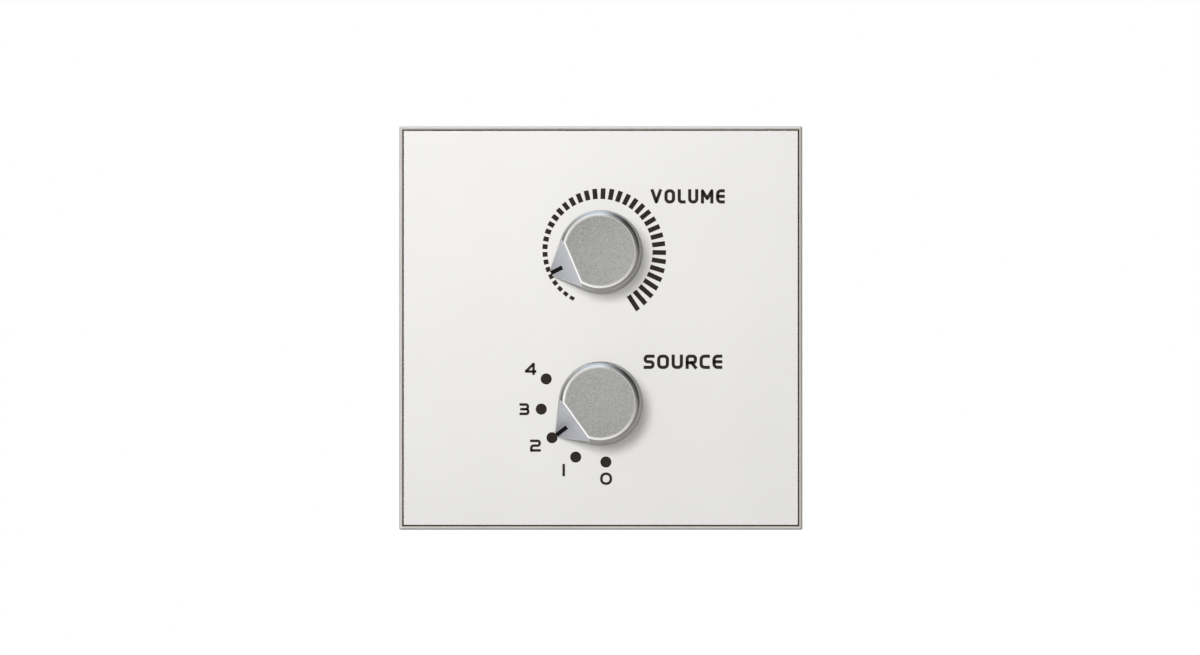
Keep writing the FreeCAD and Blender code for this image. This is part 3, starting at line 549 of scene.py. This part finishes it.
# %% Copies of the parts behind the panel
bodies = frame["record"]["behaviour"]["bodies"]
body_of = {node: body for body, members in bodies.items() for node in members}
smooth_nodes = [
    "front_panel", "panel_grommets", "board_standoffs", "board_screws", "filter_capacitor_can",
    "plug_screws", "plug_clamps", "header_pins", "volume_terminals", "selector_contacts", "selector_common",
]
twins = ("bushing", "washer", "nut", "shaft", "shaft_clip", "rotor", "wafer", "knob_hub")
for prefix in ("volume_", "selector_"):
    smooth_nodes += [prefix + part for part in twins]
for node in smooth_nodes:
    refined(node, welded(node), body_of[node])
soft_edges = {
    "volume_cover": 0.12, "selector_cover": 0.12, "terminal_header": 0.15, "terminal_plug": 0.18,
    "circuit_board": 0.06, "support_plate": 0.12, "chip_resistors": 0.05, "chip_capacitors": 0.05,
    "filter_capacitor_base": 0.1,
}
for node, edge in soft_edges.items():
    refined(node, welded(node), body_of[node], edge=edge)
print("refined", len(smooth_nodes) + len(soft_edges))

# %% [markdown]
# The trim's outer front edge is rolled over, as on a drawn profile: narrow across and longer in
# depth. So its upper run catches the light from above, and its lower run the dark from below.
# CAD has a plain small fillet there. Each ring of its points is scaled towards the plate's middle
# and moved back, which draws the quarter circle out to a quarter of an ellipse.

# %% Rolled edge of the trim
plate_half = 40.0
trim_front = -9.2
cad_fillet = 0.25
roll_width = 0.4
roll_depth = 0.85
edge_zone = 1.6 * cad_fillet
bm = welded("trim_frame")
rolled = 0
for vert in bm.verts:
    depth = vert.co.y / mm - trim_front
    reach = max(abs(vert.co.x), abs(vert.co.z)) / mm
    if depth < cad_fillet + 0.001 and reach > plate_half - edge_zone:
        inset = cad_fillet * (1 - math.sqrt(max(0, 1 - (1 - depth / cad_fillet) ** 2)))
        nearer = (plate_half - inset * roll_width / cad_fillet) / (plate_half - inset)
        vert.co = (
            vert.co.x * nearer, (trim_front + depth * roll_depth / cad_fillet) * mm, vert.co.z * nearer)
        rolled += 1
refined("trim_frame", bm, body_of["trim_frame"])
print("trim points moved", rolled)

# %% [markdown]
# All other nodes keep their CAD mesh and only get their finish.

# %% Finishes on the CAD nodes
for name, part in nodes.items():
    part.data.materials.clear()
    part.data.materials.append(finish[slot_of[name]])
print("nodes with a finish", len(nodes))

# %% [markdown]
# The knob is a round body drawn out to a blunt nose. Its outline is a circle and the two lines
# that touch it from the nose's tip, so one ring of points at each height describes it. The ring
# is pulled up three times: drafted wall, sloping shoulder, top. A slanting cut makes the nose's
# facet. The hollow inside is made in the same way, and last the edges are bevelled.

# %% Knob sizes
knob_radius = 8.35
tip_radius = 10.65
tip_half_width = 0.7
knob_base = -9.6
knob_top = -24.1
wall_draft = 0.4
shoulder = 0.8
shoulder_drop = 0.65
chord_radius = 5.9
tip_height = 2.0
knob_wall = 1.2
inner_tip = 9.2
roof = 1.5
ceiling_reach = 6.9
rim_width = 0.32
edge_width = 0.08
sharp_from = math.radians(22)
ring_points = 192
facet_run = tip_radius - chord_radius
facet_rise = (knob_base - tip_height) - knob_top
facet_out = Vector((0, -facet_run, -facet_rise)).normalized()
facet_start = Vector((0, knob_top, -chord_radius))
nose_angle = math.asin(knob_radius / math.hypot(tip_half_width, tip_radius))
nose_angle -= math.atan(tip_half_width / tip_radius)
touch = math.pi / 2 - nose_angle
touch_index = round(touch / (2 * math.pi) * ring_points)
print("nose angle", round(math.degrees(nose_angle), 2), "touch index", touch_index)

# %% [markdown]
# Four helpers carry the knob's form. `ring_place` finds a point of the outline: on the nose's
# blunt end, on one of its two straight sides or on the round. `shape_ring` puts a whole ring in
# place, `pull_ring` draws the next ring out of it, and `cut_facet` cuts the nose off aslant.

# %% Knob rings
def ring_place(index, radius, tip):
    """Where point number index of a knob ring lies: x to the right, z up, the nose straight down."""
    half = (radius / math.sin(nose_angle) - tip) * math.tan(nose_angle)
    corner = math.atan2(half, tip)
    turn = (index + ring_points // 2) % ring_points - ring_points // 2
    side = -1 if turn < 0 else 1
    step = abs(turn)
    if step == 0:
        angle = 0.0
    elif step <= touch_index:
        angle = corner + (touch - corner) * (step - 1) / (touch_index - 1)
    else:
        angle = touch + (math.pi - touch) * (step - touch_index) / (ring_points / 2 - touch_index)
    reach = radius
    if angle < touch:
        reach = min(radius / math.cos(angle - touch), tip / math.cos(angle))
    return -side * reach * math.sin(angle), -reach * math.cos(angle)


def shape_ring(verts, radius, tip, height):
    """Moves a ring of points onto the knob's outline at one height."""
    for index, vert in enumerate(verts):
        x, z = ring_place(index, radius, tip)
        vert.co = (x * mm, height * mm, z * mm)


def pull_ring(bm, verts, radius, tip, height):
    """Extrudes a ring of points and shapes the new one."""
    edges = [bm.edges.get((verts[i - 1], verts[i])) for i in range(len(verts))]
    made = bmesh.ops.extrude_edge_only(bm, edges=edges)["geom"]
    fresh = {v for v in made if isinstance(v, bmesh.types.BMVert)}
    ring = [next(e.other_vert(v) for e in v.link_edges if e.other_vert(v) in fresh) for v in verts]
    shape_ring(ring, radius, tip, height)
    return ring


def cut_facet(bm, faces, inset):
    """Cuts the nose's facet off a closed form, or the same plane sunk by inset, and closes it."""
    point = facet_start - facet_out * inset
    borders = {e for f in faces for e in f.edges}
    corners = {v for f in faces for v in f.verts}
    geom = list(faces) + list(borders) + list(corners)
    cut = bmesh.ops.bisect_plane(
        bm, geom=geom, plane_co=point * mm, plane_no=facet_out, clear_outer=True, dist=1e-7)
    edges = [g for g in cut["geom_cut"] if isinstance(g, bmesh.types.BMEdge)]
    return bmesh.ops.contextual_create(bm, geom=edges)["faces"]


# %% [markdown]
# With the rings and the cut in hand, a knob takes a few steps: pull up the outside, cut the facet,
# pull up the hollow inside, and give each face its finish by the way it looks. The rim round the
# flat top is rounded by a bevel 0.32 mm wide on both its faces, and the other sharp edges outside
# get a fine one of 0.08 mm. The bevels then take the rims' lighter copy of the plating, a painted
# highlight.

# %% Knobs
def knob(name, body, height, turn):
    """A hollow knob whose nose is turned from straight down, at a height above the plate's middle."""
    bm = bmesh.new()
    start = bmesh.ops.create_circle(bm, segments=ring_points, radius=1)["verts"]
    shape_ring(start, knob_radius, tip_radius, knob_base)
    at_shoulder = pull_ring(
        bm, start, knob_radius - wall_draft, tip_radius - wall_draft, knob_top + shoulder_drop)
    inset = wall_draft + shoulder
    at_top = pull_ring(bm, at_shoulder, knob_radius - inset, tip_radius - inset, knob_top)
    bmesh.ops.contextual_create(bm, geom=at_top)
    cut_facet(bm, bm.faces, 0)
    rim = pull_ring(bm, start, knob_radius - knob_wall, inner_tip, knob_base)
    before = set(bm.faces)
    ceiling = pull_ring(
        bm, rim, knob_radius - knob_wall - wall_draft, inner_tip - wall_draft, knob_top + roof)
    bmesh.ops.contextual_create(bm, geom=ceiling)
    cut_facet(bm, [f for f in bm.faces if f not in before], knob_wall)
    bmesh.ops.recalc_face_normals(bm, faces=bm.faces)

    top_face, rim_metal, shoulder_face, flank, facet = range(5)
    for face in bm.faces:
        depth = face.calc_center_median().y / mm
        face.material_index = flank if abs(face.normal.y) < 0.2 else shoulder_face
        if face.normal.y < -0.99 and depth < knob_top + 0.2:
            face.material_index = top_face
            top = face
        elif -0.5 < face.normal.y < -0.2 and len(face.verts) > 8 and depth < knob_base - 0.4:
            face.material_index = facet
    rims = bmesh.ops.bevel(
        bm, geom=list(top.edges), offset=rim_width * mm, offset_type="OFFSET", segments=8,
        profile=0.5, affect="EDGES", material=-1)["faces"]
    sharp = [
        e for e in bm.edges
        if len(e.link_faces) == 2 and e.calc_face_angle(0) > sharp_from
        and not any(f in rims for f in e.link_faces)
        and max(v.co.y for v in e.verts) < (knob_base - 0.01) * mm
        and min(v.co.xz.length for v in e.verts) > ceiling_reach * mm
    ]
    lines = bmesh.ops.bevel(
        bm, geom=sharp, offset=edge_width * mm, segments=3, profile=0.5, affect="EDGES",
        material=-1)["faces"]
    for face in bm.faces:
        if face in rims or face in lines:
            face.material_index = rim_metal
    open_edges = [e for e in bm.edges if len(e.link_faces) != 2]
    print(name, "faces", len(bm.faces), "open edges", len(open_edges))
    spin = Matrix.Rotation(math.radians(turn), 4, Vector((0, 1, 0)))
    bmesh.ops.transform(bm, matrix=Matrix.Translation((0, 0, height * mm)) @ spin, verts=bm.verts)
    return finish_piece(name, bm, body, knob_finishes, crease=20)


# %% [markdown]
# A black line is let into each nose's facet and runs out over the tip. It is a short bar that
# stands 0.03 mm proud of the plating, as lacquer filled into a groove does.

# %% Pointer lines
line_start = 8.15
line_width = 0.85
line_depth = 0.33
line_proud = 0.03
line_overrun = 0.12
line_edge = 0.04


def pointer_line(name, body, height, turn):
    """A bar that lies along the facet, from line_start off the shaft to just past the tip."""
    along = Vector((0, facet_rise, -facet_run)).normalized()
    start = facet_start + along * (
        (line_start - chord_radius) * math.hypot(facet_run, facet_rise) / facet_run)
    end_y = knob_base - tip_height + line_overrun
    length = (end_y - start.y) / along.y
    bm = bmesh.new()
    bmesh.ops.create_cube(bm, size=1)
    bmesh.ops.scale(bm, verts=bm.verts, vec=(line_width, length, line_depth))
    bmesh.ops.bevel(
        bm, geom=list(bm.edges), offset=line_edge, segments=2, profile=0.5, affect="EDGES", material=-1)
    axes = Matrix((Vector((1, 0, 0)), along, facet_out)).transposed().to_4x4()
    middle = start + along * (length / 2) + facet_out * (line_proud - line_depth / 2)
    spin = Matrix.Rotation(math.radians(turn), 4, Vector((0, 1, 0)))
    seat = Matrix.Translation((0, 0, height)) @ spin @ Matrix.Translation(middle) @ axes
    bmesh.ops.transform(bm, matrix=seat, verts=bm.verts)
    bmesh.ops.scale(bm, verts=bm.verts, vec=(mm, mm, mm))
    bmesh.ops.recalc_face_normals(bm, faces=bm.faces)
    return finish_piece(name, bm, body, [finish["line_black"]])


# %% [markdown]
# The shafts are 30 mm apart. Each knob and its line are turned from straight down to the place
# that the photograph shows, and ride on their own spindle.

# %% Both knobs in place
volume_z = 15.0
selector_z = -15.0
volume_turn = 67.0
selector_turn = 54.3
volume_knob = knob("volume_pointer_knob", "volume_spindle", volume_z, volume_turn)
selector_knob = knob("selector_pointer_knob", "selector_spindle", selector_z, selector_turn)
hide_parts("volume_knob")
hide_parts("selector_knob")
volume_line = pointer_line("volume_pointer_line", "volume_spindle", volume_z, volume_turn)
selector_line = pointer_line("selector_pointer_line", "selector_spindle", selector_z, selector_turn)
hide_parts("volume_knob_line")
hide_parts("selector_knob_line")
print("knobs and lines", [piece.name for piece in (volume_knob, selector_knob, volume_line, selector_line)])

# %% [markdown]
# The words and figures are screen printed: flat ink about 0.05 mm thick, in wide square letters
# with rounded corners. A letter is a few strokes. Each stroke starts as a bent wire whose corners
# are rounded; it is pulled up into a ribbon as thick as the ink, and Solidify gives the stroke its
# width. Ordinary text would do, but Blender's own font isn't this wide and square.

# %% Letter strokes
# For each sign: its width, how round its corners are, and its wires in a box from 0 to 1
strokes = {
    "V": (1.2, 0.02, [[(0, 1), (0.5, 0), (1, 1)]]),
    "O": (1.15, 0.3, [[(0, 0), (0, 1), (1, 1), (1, 0), (0, 0)]]),
    "L": (0.85, 0.24, [[(0, 1), (0, 0), (1, 0)]]),
    "U": (1.1, 0.28, [[(0, 1), (0, 0), (1, 0), (1, 1)]]),
    "M": (1.35, 0.02, [[(0, 0), (0, 1), (0.5, 0.3), (1, 1), (1, 0)]]),
    "E": (0.95, 0.3, [[(1, 1), (0, 1), (0, 0), (1, 0)], [(0, 0.5), (1, 0.5)]]),
    "S": (1.05, 0.22, [[(1, 1), (0, 1), (0, 0.5), (1, 0.5), (1, 0), (0, 0)]]),
    "R": (1.1, 0.22, [[(0, 0), (0, 1), (1, 1), (1, 0.42), (0, 0.42)], [(0.55, 0.42), (1, 0)]]),
    "C": (1.0, 0.3, [[(1, 1), (0, 1), (0, 0), (1, 0)]]),
    "0": (0.95, 0.42, [[(0, 0), (0, 1), (1, 1), (1, 0), (0, 0)]]),
    "1": (0.0, 0.0, [[(0, 0), (0, 1)]]),
    "2": (0.9, 0.22, [[(0, 1), (1, 1), (1, 0.5), (0, 0.5), (0, 0)], [(0, 0), (1, 0)]]),
    "3": (0.8, 0.2, [[(0, 1), (0.95, 1), (0.95, 0.5), (0.1, 0.5)], [(0.5, 0.5), (1, 0.5), (1, 0), (0, 0)]]),
    "4": (1.0, 0.04, [[(0.84, 0), (0.84, 1), (0, 0.22), (1, 0.22)]]),
}
print("signs", "".join(strokes))

# %% [markdown]
# Three helpers turn the table into ink. `draw_strokes` lays one sign's wires down and rounds their
# corners, `ribbon` makes any flat wires solid, and `printed` does both for a list of signs. The
# copper runs and the board's print use `ribbon` as well.

# %% Wires to ribbons
def draw_strokes(bm, letter, left, bottom, wide, tall, stroke):
    """The wires of one letter, in millimetres. Open ends run on by half a stroke, to end on the box."""
    for wire in strokes[letter][2]:
        points = [Vector((left + x * wide, 0, bottom + z * tall)) for x, z in wire]
        closed = len(points) > 3 and wire[0] == wire[-1]
        if closed:
            points.pop()
        else:
            points[0] += (points[0] - points[1]).normalized() * stroke / 2
            points[-1] += (points[-1] - points[-2]).normalized() * stroke / 2
        verts = [bm.verts.new(point * mm) for point in points]
        for a, b in zip(verts, verts[1:] + verts[:1] if closed else verts[1:]):
            bm.edges.new((a, b))
        corners = verts if closed else verts[1:-1]
        if corners:
            bmesh.ops.bevel(
                bm, geom=corners, offset=strokes[letter][1] * tall * mm, segments=5, profile=0.5,
                affect="VERTICES", material=-1)


def ribbon(name, bm, width, front, thickness, slot):
    """Flat wires on a plane facing the front or the back become ribbons of ink or foil."""
    bmesh.ops.translate(bm, verts=bm.verts, vec=(0, front * mm, 0))
    raised = bmesh.ops.extrude_edge_only(bm, edges=list(bm.edges))["geom"]
    bmesh.ops.translate(
        bm, verts=[g for g in raised if isinstance(g, bmesh.types.BMVert)], vec=(0, thickness * mm, 0))
    bmesh.ops.recalc_face_normals(bm, faces=bm.faces)
    mesh = bpy.data.meshes.new(name)
    bm.to_mesh(mesh)
    bm.free()
    mesh.materials.append(finish[slot])
    made = bpy.data.objects.new(name, mesh)
    scene.collection.objects.link(made)
    broad = made.modifiers.new("stroke_width", "SOLIDIFY")
    broad.thickness = width * mm
    broad.offset = 0
    broad.use_even_offset = True
    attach(made, "plate")
    return made


panel_front = -9.0
ink = 0.05


def printed(name, letters, stroke):
    """Ink from a list of letter, left, right, bottom, top, all in millimetres."""
    bm = bmesh.new()
    for letter, left, right, bottom, top in letters:
        half = stroke / 2
        wide = max(right - left - stroke, 0)
        draw_strokes(bm, letter, left + half, bottom + half, wide, top - bottom - stroke, stroke)
    return ribbon(name, bm, stroke, panel_front - ink, ink, "print_ink")


# %% [markdown]
# A word fills a box, which its letters share by their widths, with even gaps between them. The
# figures stand apart, each in a box of its own beside its dot.

# %% Words and figures
letter_gap = 0.5
word_stroke = 0.64
figure_stroke = 0.51


def spaced(word, left, right, bottom, top):
    """Shares a word's box out between its letters by their widths."""
    room = right - left - letter_gap * (len(word) - 1)
    unit = room / sum(strokes[letter][0] for letter in word)
    letters = []
    for letter in word:
        wide = strokes[letter][0] * unit
        letters.append((letter, left, left + wide, bottom, top))
        left += wide + letter_gap
    return letters


printed("volume_word", spaced("VOLUME", 9.9, 24.6, 24.65, 27.5), word_stroke)
printed("source_word", spaced("SOURCE", 8.5, 24.1, -8.15, -5.3), word_stroke)
figures = [
    ("4", -15.12, -12.78, -9.33, -6.87), ("3", -16.12, -14.14, -17.3, -14.94),
    ("2", -14.02, -11.87, -24.55, -22.14), ("1", -7.6, -7.09, -29.41, -26.97),
    ("0", -0.13, 2.24, -31.13, -28.68),
]
printed("selector_figures", figures, figure_stroke)
print("printed words and figures")

# %% [markdown]
# The back is seen when the plate is lifted off the wall. Every pin that comes through the board
# is soldered: the tin climbs the pin and leaves a small cone with a hollow flank. A cone is a
# body of rotation, so its half profile is spun once round the pin.

# %% Solder joints
board_back = 11.6


def solder_joint(bm, x, z, radius):
    """Spins one cone of solder round a pin, on the back of the board."""
    foot = [(0, -0.02), (1, -0.02), (0.98, 0.05)]
    hollow_flank = [(0.72, 0.16), (0.52, 0.36), (0.42, 0.62), (0.34, 0.80)]
    profile = foot + hollow_flank + [(0.16, 0.90), (0, 0.92)]
    verts = [bm.verts.new(((x + r * radius) * mm, (board_back + y) * mm, z * mm)) for r, y in profile]
    edges = [bm.edges.new(pair) for pair in zip(verts, verts[1:])]
    centre = (x * mm, board_back * mm, z * mm)
    bmesh.ops.spin(
        bm, geom=verts + edges, cent=centre, axis=(0, 1, 0), angle=2 * math.pi, steps=20, use_merge=True)


terminal_z = 5.4
terminal_pitch = 2.5
terminal_joint = 1.0
contact_circle = 4.8
contact_first = -5.7
contact_step = 30
common_circle = 3.1
common_place = 234
contact_joint = 0.85
joints = [(k * terminal_pitch, terminal_z, terminal_joint) for k in (-1, 0, 1)]
pins = [(contact_circle, contact_first + contact_step * k) for k in range(5)]
for circle, place in pins + [(common_circle, common_place)]:
    angle = math.radians(place)
    joints.append((-circle * math.sin(angle), selector_z - circle * math.cos(angle), contact_joint))
bm = bmesh.new()
for x, z, radius in joints:
    solder_joint(bm, x, z, radius)
bmesh.ops.remove_doubles(bm, verts=bm.verts, dist=0.004 * mm)
bmesh.ops.recalc_face_normals(bm, faces=bm.faces)
finish_piece("solder_joints", bm, "plate", [bare_tin], crease=40)
print("solder joints", len(joints))

# %% [markdown]
# A chip part ends in a tinned cap at either side, and a fillet of solder slopes from the cap down
# to its pad. The cap is a small cube with its edges bevelled, the fillet a cube whose outer top
# edge is pushed down to the board.

# %% Chip caps and fillets
chip_x = 11.5
cap_size = (0.5, 0.64, 1.64)
cap_off = 1.37
fillet_size = (0.7, 0.42, 1.5)
fillet_off = 1.9
bm = bmesh.new()
chips = [(side * chip_x, z) for side in (-1, 1) for z in (-8, -11, -14, 9.5)]
for x, z in chips:
    for side in (-1, 1):
        cap = bmesh.ops.create_cube(bm, size=1)["verts"]
        bmesh.ops.scale(bm, verts=cap, vec=cap_size)
        bmesh.ops.translate(bm, verts=cap, vec=(x + side * cap_off, board_back + 0.32, z))
        edges = list({e for v in cap for e in v.link_edges})
        bmesh.ops.bevel(bm, geom=edges, offset=0.05, segments=2, profile=0.5, affect="EDGES", material=-1)
        fillet = bmesh.ops.create_cube(bm, size=1)["verts"]
        bmesh.ops.scale(bm, verts=fillet, vec=fillet_size)
        bmesh.ops.translate(bm, verts=fillet, vec=(x + side * fillet_off, board_back + 0.19, z))
        for vert in fillet:
            if abs(vert.co.x - x) > fillet_off and vert.co.y > board_back + 0.2:
                vert.co.y = board_back + 0.03
bmesh.ops.scale(bm, verts=bm.verts, vec=(mm, mm, mm))
bmesh.ops.recalc_face_normals(bm, faces=bm.faces)
finish_piece("chip_caps_and_fillets", bm, "plate", [bare_tin], crease=40)
print("chips", len(chips))

# %% [markdown]
# Copper runs lie under the green resist and show as slightly lighter, slightly raised bands.
# They are drawn like the letters: a bent wire, made a ribbon, made as wide as the run.

# %% Copper runs
def lay_wires(bm, wires):
    """Adds bent wires to a mesh. Points are x and z in millimetres."""
    for wire in wires:
        verts = [bm.verts.new((x * mm, 0, z * mm)) for x, z in wire]
        for pair in zip(verts, verts[1:]):
            bm.edges.new(pair)


bm = bmesh.new()
lay_wires(bm, [
    [(-2.5, 5.4), (-2.5, 7.0), (-5.0, 9.5), (-9.2, 9.5)],
    [(2.5, 5.4), (2.5, 7.0), (5.0, 9.5), (9.2, 9.5)],
    [(0, 5.4), (0, 12.6)],
    [(-13.8, 9.5), (-15.4, 7.9), (-15.4, -5.9), (-13.8, -8)],
    [(-13.8, -11), (-15.4, -12.6), (-15.4, -16.5)],
    [(13.8, 9.5), (15.4, 7.9), (15.4, -5.9), (13.8, -8)],
    [(13.8, -11), (15.4, -12.6), (15.4, -16.5)],
    [(-9.2, -8), (-6.4, -8), (-4.6, -9.8), (-4.6, -12.4), (-5.6, -13.4)],
    [(-9.2, -11), (-7.8, -11), (-5.0, -13.8)],
    [(-9.2, -14), (-6.6, -14), (-4.76, -15.6)],
    [(9.2, -8), (4.4, -8), (2.4, -10), (2.4, -13.2)],
    [(9.2, -11), (6.0, -11), (0.5, -19.8)],
    [(9.2, -14), (7.2, -14), (2.6, -20.6), (-2.0, -19.4)],
    [(-3.4, -18.3), (-8.2, -20.6), (-9.2, -20.6)],
])
runs = ribbon("copper_runs", bm, 0.5, board_back - 0.01, 0.04, "board_green")
runs.data.materials[0] = copper_run
print("copper runs", len(runs.data.edges), "edges")

# %% [markdown]
# White screen print frames each part, so that the assembler sees where it belongs. The lines are
# flat wires again, and the can gets a frame that is cut off at two corners, for its polarity.

# %% Board print
bm = bmesh.new()
for x, z in chips:
    lay_wires(bm, [[(x - 0.8, z + 1.2), (x + 0.8, z + 1.2)], [(x - 0.8, z - 1.2), (x + 0.8, z - 1.2)]])
lay_wires(bm, [
    [(-3.7, 13.4), (-3.7, 19.7), (-2.7, 20.7), (2.7, 20.7), (3.7, 19.7), (3.7, 13.4)],
    [(-13.1, -4.1), (13.1, -4.1)], [(-13.1, 4.1), (13.1, 4.1)],
])
ribbon("board_print", bm, 0.16, board_back, 0.02, "panel_white")
print("outlines printed round", len(chips), "chips, the can and the terminal")

# %% [markdown]
# The can's black mark is a disc of ink cut by a straight line: a capped circle, bisected, turned
# to face the back and made 0.02 mm thick.

# %% Mark on the can
can_z = 17
can_top = board_back + 6.085
mark_radius = 2.62
mark_edge = -1.3
bm = bmesh.new()
bmesh.ops.create_circle(bm, cap_ends=True, segments=48, radius=mark_radius)
whole = bm.verts[:] + bm.edges[:] + bm.faces[:]
bmesh.ops.bisect_plane(bm, geom=whole, plane_co=(mark_edge, 0, 0), plane_no=(1, 0, 0), clear_outer=True)
bmesh.ops.rotate(bm, verts=bm.verts, cent=(0, 0, 0), matrix=Matrix.Rotation(math.radians(90), 3, "X"))
raised = bmesh.ops.extrude_face_region(bm, geom=list(bm.faces))["geom"]
bmesh.ops.translate(bm, verts=[g for g in raised if isinstance(g, bmesh.types.BMVert)], vec=(0, 0.02, 0))
bmesh.ops.translate(bm, verts=bm.verts, vec=(0, can_top, can_z))
bmesh.ops.scale(bm, verts=bm.verts, vec=(mm, mm, mm))
bmesh.ops.recalc_face_normals(bm, faces=bm.faces)
mark = finish_piece("capacitor_mark", bm, "plate", [finish["hub_black"]])
print("mark faces", len(mark.data.polygons))
